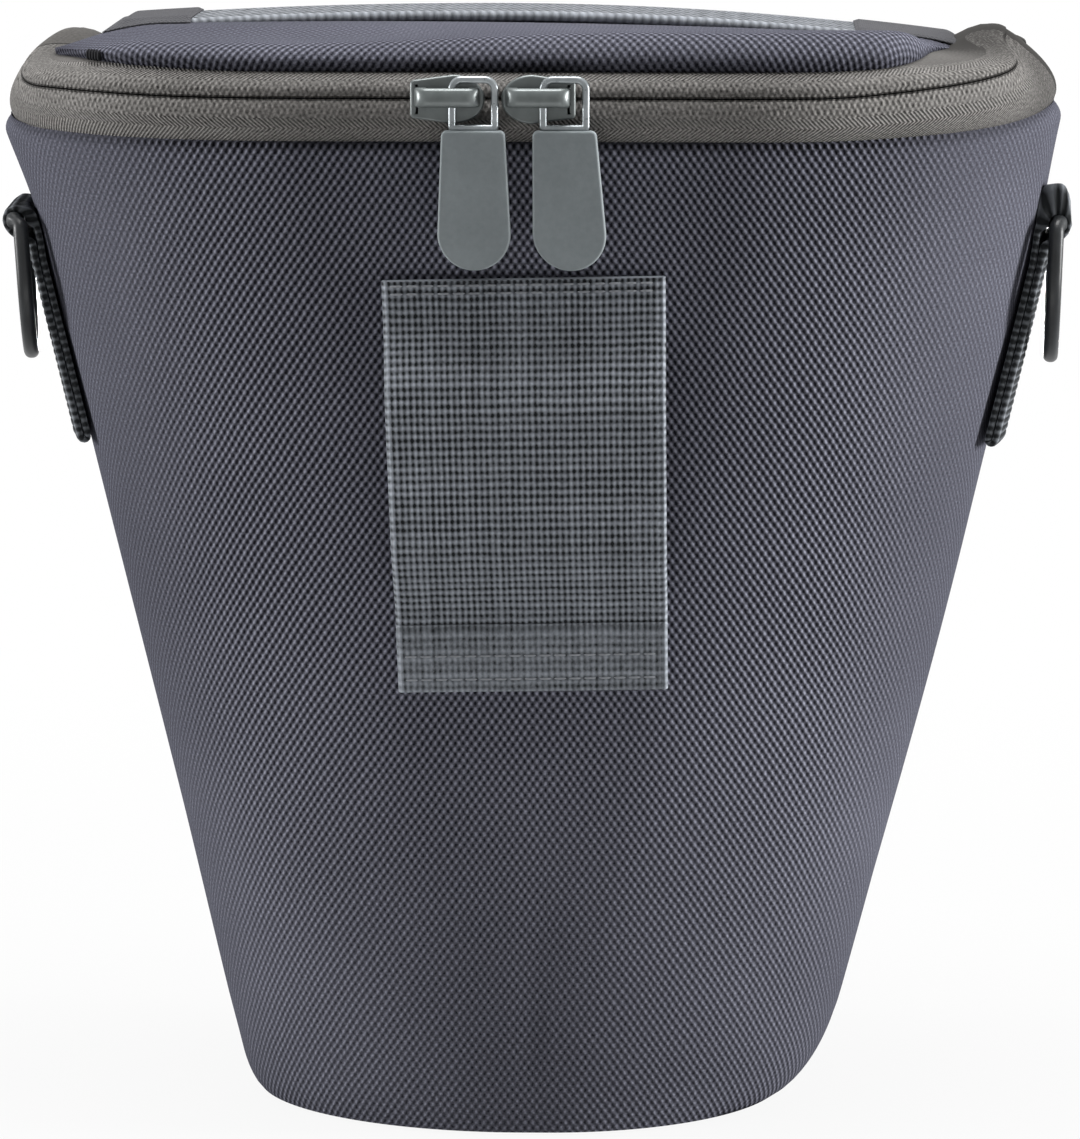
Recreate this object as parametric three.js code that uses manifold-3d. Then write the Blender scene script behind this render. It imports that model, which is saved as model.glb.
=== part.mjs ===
// Padded holster case for a camera, closed by a two-way zip round three sides of its lid.
// Millimetres, +Z up. The rear, with the belt loop and the zip pulls, faces -Y. The origin is the middle
// of the base, on the surface that the case stands on.
import * as THREE from 'three';
import Module from 'manifold-3d';
import { mergeVertices } from 'three/addons/utils/BufferGeometryUtils.js';

const wasm = await Module();
wasm.setup();

// Clearances
const fit = 0.3;                  // between pieces that are sewn or glued together
const runFit = 0.35;              // between pieces that slide or turn on each other
const pivotFit = 0.45;            // round a pull's frame on its bridge foot

// Bucket
const rimHeight = 184;            // top edge of the outer fabric
const rimHalfWidth = 95.2;
const rimHalfDepth = 64;
const baseHalfWidth = 53.2;
const baseHalfDepth = 44;
const rimRearCorner = { x: 59, y: 50 };
const rimFrontCorner = { x: 60, y: 66 };
const baseRearCorner = { x: 50, y: 41 };
const baseFrontCorner = { x: 45, y: 42 };
const cornerLimit = 0.96;         // most of a side that its corners may take up
const cornerLeast = 2;            // least reach of a corner on an inner layer
const heelHeight = 13;            // the wall rounds in below this height
const heelTuckWidth = 6;
const heelTuckDepth = 2.5;
const skinLift = 0.6;             // the outer fabric ends this far above the floor

// Layers of the wall and floor
const skinThickness = 1;
const foamThickness = 7;
const liningThickness = 0.8;
const basePanelThickness = 1.5;
const baseFoamThickness = 7;
const foamDrop = 5;               // foam and lining stop this far below the rim
const bindingThickness = 1.5;
const bindingShoulder = 0.9;      // height at which the binding rounds in

// Zip
const tapeShow = 7.3;             // from the rim up to the zip's centre line
const tapeThickness = 0.8;
const tapeHem = 4.4;              // lower tape sewn behind the outer fabric
const tapeStep = 1.1;             // height in which the lower tape comes out over the rim
const bandProud = 0.2;            // the tape stands out past the outer fabric
const zipHalfGap = 0.6;           // from the centre line to each tape's edge
const tapeUpright = 3.2;          // upper tape stands up this far, then leans in to the lid
const tapeLean = 63.4;            // degrees from upright
const tapeLeanRun = 3.1;          // inward reach of the part of the lean that shows
const tapeTuck = 1.9;             // and of the part under the lid
const coilDepth = 1.8;
const coilClear = 0.15;           // between the upper coil and the tape's bend
const zipEndShare = 0.875;        // the zip ends this far round each front corner
const zipEndGap = 0.006;          // share of the corner between a tape and the hinge strip

// Lid
const lidFabric = 1;
const lidRoll = 6;                // reach of its rounded edge
const lidCrown = 4.35;            // height of its rounded edge
const lidDish = 1.9;              // the middle lies this far below the edge's crest
const dishStart = 16;             // insets between which the lid dips
const dishEnd = 34;
const lidSeat = 0.075;            // extra lift of the lid's edge over the tape
const lidFoamInset = 5.4;
const lidLiningLift = 0.7;        // over the zip's centre line
const lidLiningThickness = 0.8;

// Carry handle and its sewn patches
const handleWidth = 25;
const handleDepthPlace = -5.5;    // its middle, front to back
const handleInset = 33.2;         // each end of the free span, from the widest part of the rim
const handleSewn = 16;            // length under each patch
const handleThickness = 1.4;
const handleGap = 4.3;            // finger room over the lid's dish
const patchLength = 20;
const patchOverlap = 3;           // each side of the webbing
const patchThickness = 0.9;

// Belt loop on the rear
const beltLoopWidth = 50;
const beltLoopLength = 74.4;
const beltLoopClear = 1.3;        // below the hanging zip pulls
const beltLoopSewnBottom = 13.5;
const beltLoopSewnTop = 10;
const beltLoopTurn = 6;           // height in which it leaves the panel
const beltLoopThickness = 1.6;
const beltGap = 6.2;              // room for a belt

// Side tabs and their D-rings
const tabWidth = 25;
const tabDepthPlace = -13;        // middle of the tab, on the straight run of the side
const tabLength = 40.6;           // from the ring's bar down to its sewn end
const tabThickness = 1.5;         // one layer of its webbing
const loopDrop = 9;               // the fold closes this far below the ring's bar
const ringBelowRim = 18;          // from the rim down to the ring's bar
const ringThickness = 3.2;
const ringBevel = 0.8;
const ringSideClear = 0.5;        // between the webbing and the ring's legs
const ringLegWidth = 3.4;
const ringLegLength = 8;
const ringDrop = 25;              // from the bar's middle to the bottom of the bow
const ringCorner = 2.6;

// Zip sliders, their pulls and where they stand when the zip is closed
const sliderLeftPlace = -13.9;
const sliderRightPlace = 2;
const sliderLength = 13;
const sliderHeadHalf = 4.3;       // half the height of the plate at its head
const sliderTailHalf = 3.4;
const sliderNeck = 1;             // where the head's round end starts, from the middle
const plateThickness = 1.2;
const innerPlateThickness = 1;
const innerPlateHalf = 3;
const webThickness = 0.6;
const webLength = 6;
const lipThickness = 0.7;
const bridgeLength = 11.4;
const bridgeWidth = 3.4;
const bridgeThickness = 1.1;
const bridgeFoot = 2.2;
const bridgeRise = 0.4;           // bridge stands this far above the zip's centre line
const frameWire = 1.3;
const frameBevel = 0.3;
const frameSpread = 0.6;          // its legs stand this much wider than its bow
const frameCorner = 2.4;
const frameLegDrop = 6;           // from the pivot to the underside of the frame's lower bar
const tongueHalf = 2;
const tongueLength = 9;
const pullTop = 6.4;              // below the pivot
const pullBottom = 31;
const pullTopHalf = 5.6;
const pullHalf = 6.4;
const pullThickness = 3.2;
const pullBevel = 0.6;
const pullCorner = 1.2;

// Facets
const cornerSteps = 8;
const heelSteps = 3;
const wallSteps = 5;
const loopSteps = 8;
const handleSteps = 36;
const arcSteps = 10;

const { lerp, smoothstep, degToRad } = THREE.MathUtils;
const zipHeight = rimHeight + tapeShow;
const ringBarHeight = rimHeight - ringBelowRim;
const tabBottom = ringBarHeight - tabLength;
const beltLoopTop = zipHeight + bridgeRise - pullBottom - beltLoopClear;
const beltLoopBottom = beltLoopTop - beltLoopLength;

// Wall of the case at the middle of each side
const halfWidthAt = (z) => lerp(baseHalfWidth, rimHalfWidth, Math.min(z, rimHeight) / rimHeight);
const halfDepthAt = (z) => lerp(baseHalfDepth, rimHalfDepth, Math.min(z, rimHeight) / rimHeight);

// Share of the heel's tuck at height z: a quarter round in straight facets, which every layer shares
function heelTuck(z) {
  const step = Math.min(z / heelHeight, 1) * heelSteps;
  const low = Math.min(Math.floor(step), heelSteps - 1);
  const round = (at) => 1 - Math.sqrt(1 - (1 - at / heelSteps) ** 2);
  return lerp(round(low), round(low + 1), step - low);
}

// Heights at which a layer of the wall has its rings, from one height to another
function wallHeights(from, to) {
  const heel = Array.from({ length: heelSteps }, (_, i) => heelHeight * (i + 1) / heelSteps);
  const wall = Array.from({ length: wallSteps }, (_, i) => lerp(heelHeight, rimHeight, (i + 1) / wallSteps));
  return [from, ...[...heel, ...wall].filter((z) => z > from && z < to), to];
}

// Point of the outline at height z, drawn in by inset. Corners run anticlockwise from the rear right, each
// a quarter of an ellipse, and share goes from 0 to 1 along it. The sides are the straight runs between.
function outlinePoint({ corner, share }, inset, z) {
  const rise = Math.min(z, rimHeight) / rimHeight;
  const tuck = heelTuck(z);
  const halfWidth = halfWidthAt(z) - heelTuckWidth * tuck - inset;
  const halfDepth = halfDepthAt(z) - heelTuckDepth * tuck - inset;
  const rear = corner === 0 || corner === 3;
  const base = rear ? baseRearCorner : baseFrontCorner;
  const rim = rear ? rimRearCorner : rimFrontCorner;
  const bothY = lerp(baseRearCorner.y + baseFrontCorner.y, rimRearCorner.y + rimFrontCorner.y, rise) - 2 * inset;
  const squeeze = Math.min(1, 2 * halfDepth * cornerLimit / Math.max(bothY, cornerLeast));
  const reachX = Math.min(Math.max(lerp(base.x, rim.x, rise) - inset, cornerLeast), halfWidth * cornerLimit);
  const reachY = Math.max(lerp(base.y, rim.y, rise) - inset, cornerLeast) * squeeze;
  const angle = (corner - 1 + share) * Math.PI / 2;
  return new THREE.Vector3(
    (corner < 2 ? 1 : -1) * (halfWidth - reachX) + reachX * Math.cos(angle),
    (rear ? -1 : 1) * (halfDepth - reachY) + reachY * Math.sin(angle),
    z,
  );
}

// Stations along one corner, from one share of it to another, on the steps that every layer shares
function cornerStations(corner, from, to) {
  const between = Array.from({ length: cornerSteps - 1 }, (_, i) => (i + 1) / cornerSteps);
  return [from, ...between.filter((share) => share > from && share < to), to].map((share) => ({ corner, share }));
}

const fullRing = [0, 1, 2, 3].flatMap((corner) => cornerStations(corner, 0, 1));
const zipPath = [
  ...cornerStations(2, 1 - zipEndShare + zipEndGap, 1),
  ...cornerStations(3, 0, 1),
  ...cornerStations(0, 0, 1),
  ...cornerStations(1, 0, zipEndShare - zipEndGap),
];
const hingePath = [
  ...cornerStations(1, zipEndShare + zipEndGap, 1),
  ...cornerStations(2, 0, 1 - zipEndShare - zipEndGap),
];

// Closed geometry from points and triangles, turned to face outwards
function closedGeometry(points, triangles) {
  const volume = triangles.reduce((sum, [a, b, c]) => {
    const cross = new THREE.Vector3().crossVectors(points[b], points[c]);
    return sum + points[a].dot(cross);
  }, 0);
  const facing = volume > 0 ? triangles : triangles.map(([a, b, c]) => [a, c, b]);
  const geometry = new THREE.BufferGeometry().setFromPoints(points);
  geometry.setIndex(facing.flat());
  geometry.computeVertexNormals();
  return geometry;
}

// Section of [inset, height] points carried along stations of the outline, closed on itself or capped
function bandGeometry(stations, section, closed) {
  const flat = section.map(([inset, z]) => new THREE.Vector2(inset, z));
  const ordered = THREE.ShapeUtils.isClockWise(flat) ? [...section].reverse() : section;
  const count = ordered.length;
  const points = stations.flatMap((at) => ordered.map(([inset, z]) => outlinePoint(at, inset, z)));
  const triangles = [];
  const runs = closed ? stations.length : stations.length - 1;
  for (let i = 0; i < runs; i += 1) {
    const near = i * count;
    const far = ((i + 1) % stations.length) * count;
    for (let j = 0; j < count; j += 1) {
      const next = (j + 1) % count;
      triangles.push([near + j, far + j, far + next], [near + j, far + next, near + next]);
    }
  }
  if (!closed) {
    const outline = ordered.map(([inset, z]) => new THREE.Vector2(inset, z));
    const last = (stations.length - 1) * count;
    THREE.ShapeUtils.triangulateShape(outline, []).forEach(([a, b, c]) => {
      triangles.push([a, b, c], [last + a, last + c, last + b]);
    });
  }
  return closedGeometry(points, triangles);
}

// Rings of the outline at each [inset, height] in turn, with the first and last closed across the middle
function loftGeometry(profile) {
  const count = fullRing.length;
  const points = profile.flatMap(([inset, z]) => fullRing.map((at) => outlinePoint(at, inset, z)));
  const triangles = [];
  for (let k = 0; k < profile.length - 1; k += 1) {
    for (let i = 0; i < count; i += 1) {
      const next = (i + 1) % count;
      const low = k * count;
      const high = low + count;
      triangles.push([low + i, low + next, high + next], [low + i, high + next, high + i]);
    }
  }
  const first = points.push(new THREE.Vector3(0, 0, profile[0][1])) - 1;
  const last = points.push(new THREE.Vector3(0, 0, profile.at(-1)[1])) - 1;
  const top = (profile.length - 1) * count;
  for (let i = 0; i < count; i += 1) {
    const next = (i + 1) % count;
    triangles.push([first, next, i], [last, top + i, top + next]);
  }
  return closedGeometry(points, triangles);
}

// Shape drawn across X and Z, with its thickness along Y about yMiddle
function plateGeometry(shape, thickness, yMiddle, bevel = 0) {
  const geometry = new THREE.ExtrudeGeometry(shape, {
    depth: thickness - 2 * bevel,
    bevelEnabled: bevel > 0,
    bevelThickness: bevel,
    bevelSize: bevel,
    bevelOffset: -bevel,
    bevelSegments: 1,
    curveSegments: arcSteps,
  });
  geometry.translate(0, 0, bevel - thickness / 2);
  geometry.rotateX(Math.PI / 2);
  return geometry.translate(0, yMiddle, 0);
}

// Shape drawn across Y and Z, with its width along X about the middle
function stripGeometry(shape, width, bevel = 0) {
  return plateGeometry(shape, width, 0, bevel).rotateZ(Math.PI / 2);
}

function boxGeometry(from, to) {
  const size = to.map((value, axis) => value - from[axis]);
  const middle = to.map((value, axis) => (value + from[axis]) / 2);
  return new THREE.BoxGeometry(...size).translate(...middle);
}

// Closed geometry as a solid for joining and cutting, and back again
function solidOf(geometry) {
  const bare = geometry.clone();
  bare.deleteAttribute('normal');
  bare.deleteAttribute('uv');
  const merged = mergeVertices(bare, 1e-4);
  return new wasm.Manifold(new wasm.Mesh({
    numProp: 3,
    vertProperties: Float32Array.from(merged.attributes.position.array),
    triVerts: Uint32Array.from(merged.index.array),
  }));
}

function geometryOf(solid) {
  const mesh = solid.getMesh();
  const geometry = new THREE.BufferGeometry();
  geometry.setAttribute('position', new THREE.BufferAttribute(mesh.vertProperties, 3));
  geometry.setIndex(new THREE.BufferAttribute(mesh.triVerts, 1));
  geometry.computeVertexNormals();
  return geometry;
}

// Finishes
const finish = (color, roughness, metalness = 0) => () => (
  new THREE.MeshStandardMaterial({ color, roughness, metalness })
);
const caseFabric = finish('#4b4c54', 0.8);
const webbing = finish('#51555b', 0.85);
const tapeFabric = finish('#5c5854', 0.85);
const coilPlastic = finish('#2c2b2b', 0.5);
const foam = finish('#2f3033', 0.95);
const lining = finish('#6d6e73', 0.8);
const bindingFabric = finish('#3a3b40', 0.85);
const sliderMetal = finish('#656d6d', 0.4, 0.6);
const pullRubber = finish('#686e71', 0.6);
const ringPlastic = finish('#343639', 0.45);

function addPiece(parent, name, geometry, material) {
  const mesh = new THREE.Mesh(geometry, material());
  mesh.name = name;
  parent.add(mesh);
}

const cameraCase = new THREE.Group();

// Bucket: outer fabric, foam, lining and floor
const foamFloor = basePanelThickness + fit + baseFoamThickness + fit;
const foamTop = rimHeight - foamDrop;
const foamInset = skinThickness + fit;
const liningInset = foamInset + foamThickness + fit;
const liningFloor = foamFloor + liningThickness;

const skinHeights = wallHeights(skinLift, rimHeight);
addPiece(cameraCase, 'body_shell', bandGeometry(fullRing, [
  ...skinHeights.map((z) => [0, z]),
  ...skinHeights.toReversed().map((z) => [skinThickness, z]),
], true), caseFabric);

addPiece(cameraCase, 'base_panel', loftGeometry([
  [foamInset, 0],
  [foamInset, basePanelThickness],
]), caseFabric);

const baseFoamHeights = wallHeights(basePanelThickness + fit, foamFloor - fit);
addPiece(cameraCase, 'base_foam', loftGeometry(baseFoamHeights.map((z) => [foamInset, z])), foam);

const foamHeights = wallHeights(foamFloor, foamTop);
addPiece(cameraCase, 'wall_foam', bandGeometry(fullRing, [
  ...foamHeights.map((z) => [foamInset, z]),
  ...foamHeights.toReversed().map((z) => [foamInset + foamThickness, z]),
], true), foam);

addPiece(cameraCase, 'body_lining', loftGeometry([
  ...foamHeights.map((z) => [liningInset, z]),
  ...wallHeights(liningFloor, foamTop).toReversed().map((z) => [liningInset + liningThickness, z]),
]), lining);

// The binding caps the foam and the lining all round the mouth
const bindingFloor = foamTop + fit;
const bindingOuter = foamInset + tapeThickness + fit;
const bindingInner = liningInset + liningThickness;
addPiece(cameraCase, 'rim_binding', bandGeometry(fullRing, [
  [bindingOuter, bindingFloor],
  [bindingInner, bindingFloor],
  [bindingInner, bindingFloor + bindingShoulder],
  [bindingInner - bindingThickness, bindingFloor + bindingThickness],
  [bindingOuter + bindingThickness, bindingFloor + bindingThickness],
  [bindingOuter, bindingFloor + bindingShoulder],
], true), bindingFabric);

// Zip: lower tape on the bucket, upper tape on the lid, each with its half of the coil on the inner face.
// The hinge strips carry on the same bands across the front, where the lid folds.
const bandFace = -bandProud;
const bandBack = bandFace + tapeThickness;
const hemFloor = Math.max(rimHeight - tapeHem, bindingFloor);
const lowerBand = [
  [foamInset, hemFloor],
  [foamInset, rimHeight + fit],
  [bandFace, rimHeight + fit + tapeStep],
  [bandFace, zipHeight - zipHalfGap],
  [bandBack, zipHeight - zipHalfGap],
  [bandBack, rimHeight + 2 * fit + tapeStep],
  [foamInset + tapeThickness, rimHeight + 2 * fit],
  [foamInset + tapeThickness, hemFloor],
];
addPiece(cameraCase, 'lower_zip_tape', bandGeometry(zipPath, lowerBand, false), tapeFabric);
addPiece(cameraCase, 'lower_hinge_strip', bandGeometry(hingePath, lowerBand, false), tapeFabric);

const lean = degToRad(tapeLean);
const leanSlope = 1 / Math.tan(lean);
const leanTop = zipHeight + tapeUpright;
const bendDrop = tapeThickness * Math.tan(lean / 2);
const leanReach = tapeLeanRun + tapeTuck;
const leanEnd = [bandFace + leanReach, leanTop + leanReach * leanSlope];
const upperBand = [
  [bandFace, zipHeight + zipHalfGap],
  [bandFace, leanTop],
  leanEnd,
  [leanEnd[0] + tapeThickness * Math.cos(lean), leanEnd[1] - tapeThickness * Math.sin(lean)],
  [bandBack, leanTop - bendDrop],
  [bandBack, zipHeight + zipHalfGap],
];
addPiece(cameraCase, 'upper_zip_tape', bandGeometry(zipPath, upperBand, false), tapeFabric);
addPiece(cameraCase, 'upper_hinge_strip', bandGeometry(hingePath, upperBand, false), tapeFabric);

const coilFace = bandBack + fit;
const coilNear = zipHalfGap;
const coilFar = tapeUpright - bendDrop - coilClear;
const coilSection = (side) => [
  [coilFace, zipHeight + side * coilNear],
  [coilFace + coilDepth, zipHeight + side * coilNear],
  [coilFace + coilDepth, zipHeight + side * coilFar],
  [coilFace, zipHeight + side * coilFar],
];
addPiece(cameraCase, 'lower_zip_coil', bandGeometry(zipPath, coilSection(-1), false), coilPlastic);
addPiece(cameraCase, 'upper_zip_coil', bandGeometry(zipPath, coilSection(1), false), coilPlastic);

// Lid: a rolled edge, then a top that dips in the middle under the handle. Depth is the distance below the
// outer face of the fabric.
const lidEdgeInset = bandFace + tapeLeanRun;
const lidEdgeHeight = leanTop + tapeLeanRun * leanSlope + fit / Math.sin(lean) + lidSeat;
const lidCrest = lidEdgeHeight + lidCrown;

function lidRollPoint(angle, depth) {
  const foot = lidEdgeHeight + depth * leanSlope;
  return [
    lidEdgeInset + lidRoll - (lidRoll - depth) * Math.cos(angle),
    foot + (lidCrest - depth - foot) * Math.sin(angle),
  ];
}

const lidTopHeight = (inset) => lidCrest - lidDish * smoothstep(inset, dishStart, dishEnd);
const lidTopPoint = (inset, depth) => [inset, lidTopHeight(inset) - depth];
const lidDishInsets = [0, 0.3, 0.7, 1].map((share) => lerp(dishStart, dishEnd, share));
const lidRollAngles = [0, 20, 45, 68, 90].map(degToRad);
const lidOuter = [
  ...lidRollAngles.map((angle) => lidRollPoint(angle, 0)),
  ...lidDishInsets.map((inset) => lidTopPoint(inset, 0)),
];
const lidInner = [
  ...lidRollAngles.map((angle) => lidRollPoint(angle, lidFabric)),
  ...lidDishInsets.map((inset) => lidTopPoint(inset, lidFabric)),
];
addPiece(cameraCase, 'lid_shell', loftGeometry([...lidOuter.toReversed(), ...lidInner]), caseFabric);

const lidFoamDepth = lidFabric + fit;
const lidFoamFloor = zipHeight + lidLiningLift + lidLiningThickness + fit;
const lidFoamStart = Math.acos((lidEdgeInset + lidRoll - lidFoamInset) / (lidRoll - lidFoamDepth));
addPiece(cameraCase, 'lid_foam', loftGeometry([
  [lidFoamInset, lidFoamFloor],
  ...[0, 0.5, 1].map((share) => lidRollPoint(lerp(lidFoamStart, Math.PI / 2, share), lidFoamDepth)),
  ...lidDishInsets.map((inset) => lidTopPoint(inset, lidFoamDepth)),
]), foam);

addPiece(cameraCase, 'lid_lining', loftGeometry([
  [lidFoamInset, zipHeight + lidLiningLift],
  [lidFoamInset, zipHeight + lidLiningLift + lidLiningThickness],
]), lining);

// Carry handle: webbing that lies on the lid under each patch and rises to a flat arch between them
const handleHalf = rimHalfWidth - handleInset;
const handleEnd = handleHalf + handleSewn;
const lidTopUnder = (x) => lidTopHeight(rimHalfWidth - Math.abs(x));
const handleFoot = lidTopUnder(handleHalf) + fit;
const handleRise = lidCrest - lidDish + handleGap - handleFoot;
const handleUnderside = (x) => {
  const arch = handleFoot + handleRise * (1 - (x / handleHalf) ** 4);
  return Math.abs(x) < handleHalf ? Math.max(arch, lidTopUnder(x) + fit) : lidTopUnder(x) + fit;
};

// Strip between two heights that are functions of x, from one x to another
function stripShape(from, to, steps, underside, topside) {
  const along = Array.from({ length: steps + 1 }, (_, i) => lerp(from, to, i / steps));
  return new THREE.Shape([
    ...along.map((x) => new THREE.Vector2(x, underside(x))),
    ...along.toReversed().map((x) => new THREE.Vector2(x, topside(x))),
  ]);
}

addPiece(cameraCase, 'carry_handle', plateGeometry(stripShape(
  -handleEnd, handleEnd, handleSteps, handleUnderside, (x) => handleUnderside(x) + handleThickness,
), handleWidth, handleDepthPlace), webbing);

// Each patch is sewn over an end of the webbing and down to the lid on three sides
function handlePatch(side) {
  const tunnelTop = fit + handleThickness + fit;
  const inner = side * (handleEnd + patchOverlap - patchLength);
  const outer = side * (handleEnd + patchOverlap);
  const cover = plateGeometry(stripShape(
    inner, outer, handleSteps / 6,
    (x) => lidTopUnder(x) + fit,
    (x) => lidTopUnder(x) + tunnelTop + patchThickness,
  ), handleWidth + 2 * patchOverlap, handleDepthPlace);
  const tunnel = plateGeometry(stripShape(
    inner - side * patchOverlap, side * (handleEnd + fit), handleSteps / 6,
    (x) => lidTopUnder(x) - tunnelTop,
    (x) => Math.max(handleUnderside(x), lidTopUnder(x) + fit) + handleThickness + fit,
  ), handleWidth + 2 * fit, handleDepthPlace);
  return geometryOf(solidOf(cover).subtract(solidOf(tunnel)));
}

addPiece(cameraCase, 'handle_patch_left', handlePatch(-1), caseFabric);
addPiece(cameraCase, 'handle_patch_right', handlePatch(1), caseFabric);

// Belt loop: webbing sewn flat at both ends and standing off the rear panel between them
const beltLoopStandOff = (z) => {
  const low = beltLoopBottom + beltLoopSewnBottom;
  const high = beltLoopTop - beltLoopSewnTop;
  const lift = smoothstep(z, low, low + beltLoopTurn) - smoothstep(z, high - beltLoopTurn, high);
  return fit + (beltGap - fit) * lift;
};

function beltLoop() {
  const low = beltLoopBottom + beltLoopSewnBottom;
  const high = beltLoopTop - beltLoopSewnTop;
  const turnShares = Array.from({ length: loopSteps + 1 }, (_, i) => i / loopSteps);
  const heights = [
    beltLoopBottom,
    ...turnShares.map((share) => low + share * beltLoopTurn),
    ...turnShares.map((share) => high - beltLoopTurn + share * beltLoopTurn),
    beltLoopTop,
  ];
  const face = (z, extra) => new THREE.Vector2(-halfDepthAt(z) - beltLoopStandOff(z) - extra, z);
  const shape = new THREE.Shape([
    ...heights.map((z) => face(z, 0)),
    ...heights.toReversed().map((z) => face(z, beltLoopThickness)),
  ]);
  return stripGeometry(shape, beltLoopWidth);
}

addPiece(cameraCase, 'belt_loop', beltLoop(), webbing);

// D-ring, hung by its bar at the origin: a straight bar and legs closed by a bow
const ringInnerHalf = tabWidth / 2 + ringSideClear;

function dRing() {
  const outerHalf = ringInnerHalf + ringLegWidth;
  const top = ringThickness / 2;
  const shape = new THREE.Shape();
  shape.moveTo(-outerHalf, -ringLegLength);
  shape.lineTo(-outerHalf, top - ringCorner);
  shape.absarc(ringCorner - outerHalf, top - ringCorner, ringCorner, Math.PI, Math.PI / 2, true);
  shape.lineTo(outerHalf - ringCorner, top);
  shape.absarc(outerHalf - ringCorner, top - ringCorner, ringCorner, Math.PI / 2, 0, true);
  shape.lineTo(outerHalf, -ringLegLength);
  shape.absellipse(0, -ringLegLength, outerHalf, ringDrop - ringLegLength, 0, -Math.PI, true);
  const hole = new THREE.Path();
  hole.moveTo(-ringInnerHalf, -ringLegLength);
  hole.absellipse(
    0, -ringLegLength, ringInnerHalf, ringDrop - ringLegLength - ringLegWidth, Math.PI, 2 * Math.PI, false,
  );
  hole.lineTo(ringInnerHalf, -top);
  hole.lineTo(-ringInnerHalf, -top);
  shape.holes.push(hole);
  return stripGeometry(shape, ringThickness, ringBevel);
}

// Side tab: webbing folded over the ring's bar, then two layers sewn down the side of the case
const barReach = Math.hypot(ringThickness / 2, ringThickness / 2 - ringBevel);
const foldInner = barReach + runFit;
const foldOuter = foldInner + tabThickness;
const wallSlope = (rimHalfWidth - baseHalfWidth) / rimHeight;
const wallStretch = Math.hypot(1, wallSlope);
const ringBarReach = halfWidthAt(ringBarHeight) + (fit + foldOuter) * wallStretch;

function ringTab(side) {
  const closing = ringBarHeight - loopDrop;
  const strapFace = (z, depth) => halfWidthAt(z) + (fit + depth) * wallStretch;
  const double = 2 * tabThickness;
  const at = (x) => side * x;
  const [turnStart, turnEnd, clockwise] = side > 0 ? [Math.PI, 0, true] : [0, Math.PI, false];
  const shape = new THREE.Shape();
  shape.moveTo(at(strapFace(tabBottom, 0)), tabBottom);
  shape.lineTo(at(strapFace(closing, 0)), closing);
  shape.lineTo(at(ringBarReach - foldOuter), ringBarHeight);
  shape.absarc(at(ringBarReach), ringBarHeight, foldOuter, turnStart, turnEnd, clockwise);
  shape.bezierCurveTo(
    at(ringBarReach + foldOuter), ringBarHeight - loopDrop / 2,
    at(strapFace(closing + loopDrop / 3, double)), closing + loopDrop / 3,
    at(strapFace(closing, double)), closing,
  );
  shape.lineTo(at(strapFace(tabBottom + tabThickness, double)), tabBottom + tabThickness);
  shape.lineTo(at(strapFace(tabBottom, tabThickness)), tabBottom);
  const hole = new THREE.Path();
  const holeFloor = closing + tabThickness * 1.5;
  hole.moveTo(at(ringBarReach + foldInner), ringBarHeight);
  hole.absarc(at(ringBarReach), ringBarHeight, foldInner, turnEnd, turnStart, !clockwise);
  hole.lineTo(at(strapFace(holeFloor, tabThickness) + fit), holeFloor);
  hole.quadraticCurveTo(
    at(ringBarReach + foldInner), ringBarHeight - loopDrop / 3,
    at(ringBarReach + foldInner), ringBarHeight,
  );
  shape.holes.push(hole);
  return plateGeometry(shape, tabWidth, tabDepthPlace);
}

[['left', -1], ['right', 1]].forEach(([name, side]) => {
  addPiece(cameraCase, `ring_tab_${name}`, ringTab(side), webbing);
  const ring = new THREE.Group();
  ring.position.set(side * ringBarReach, tabDepthPlace, ringBarHeight);
  addPiece(ring, `d_ring_${name}`, dRing(), ringPlastic);
  cameraCase.add(ring);
});

// Zip slider at the origin of its own frame: X along the zip, Z up, and -Y out from the tape's face. Its
// lower lip holds the bucket's coil, and the lid's coil leaves it upwards.
const plateFace = -runFit - plateThickness;
const innerPlateNear = tapeThickness + fit + coilDepth + runFit;
const windowDepth = frameWire + 2 * runFit;
const footPlace = bridgeLength / 2 - bridgeFoot / 2;

function sliderPlateShape(heading, half, tailHalf) {
  const head = sliderLength / 2 - sliderNeck;
  const shape = new THREE.Shape();
  shape.moveTo(-heading * sliderLength / 2, -tailHalf);
  shape.lineTo(heading * sliderNeck, -half);
  const [from, to, clockwise] = heading > 0 ? [-1, 1, false] : [-1, -3, true];
  shape.absellipse(
    heading * sliderNeck, 0, head, half, from * Math.PI / 2, to * Math.PI / 2, clockwise,
  );
  shape.lineTo(-heading * sliderLength / 2, tailHalf);
  return shape;
}

// Bridge seen from above: an arch with a foot at each end and rounded shoulders
function bridgeGeometry() {
  const half = bridgeLength / 2;
  const outer = windowDepth + bridgeThickness;
  const shoulder = bridgeFoot;
  const sunk = plateThickness / 2;
  const shape = new THREE.Shape();
  shape.moveTo(-half, -sunk);
  shape.lineTo(-half, outer - shoulder);
  shape.absarc(shoulder - half, outer - shoulder, shoulder, Math.PI, Math.PI / 2, true);
  shape.lineTo(half - shoulder, outer);
  shape.absarc(half - shoulder, outer - shoulder, shoulder, Math.PI / 2, 0, true);
  shape.lineTo(half, -sunk);
  shape.lineTo(half - bridgeFoot, -sunk);
  shape.lineTo(half - bridgeFoot, windowDepth);
  shape.lineTo(bridgeFoot - half, windowDepth);
  shape.lineTo(bridgeFoot - half, -sunk);
  const geometry = new THREE.ExtrudeGeometry(shape, {
    depth: bridgeWidth, bevelEnabled: false, curveSegments: arcSteps / 2,
  });
  geometry.rotateX(Math.PI);
  return geometry.translate(0, plateFace, bridgeRise + bridgeWidth / 2);
}

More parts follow.
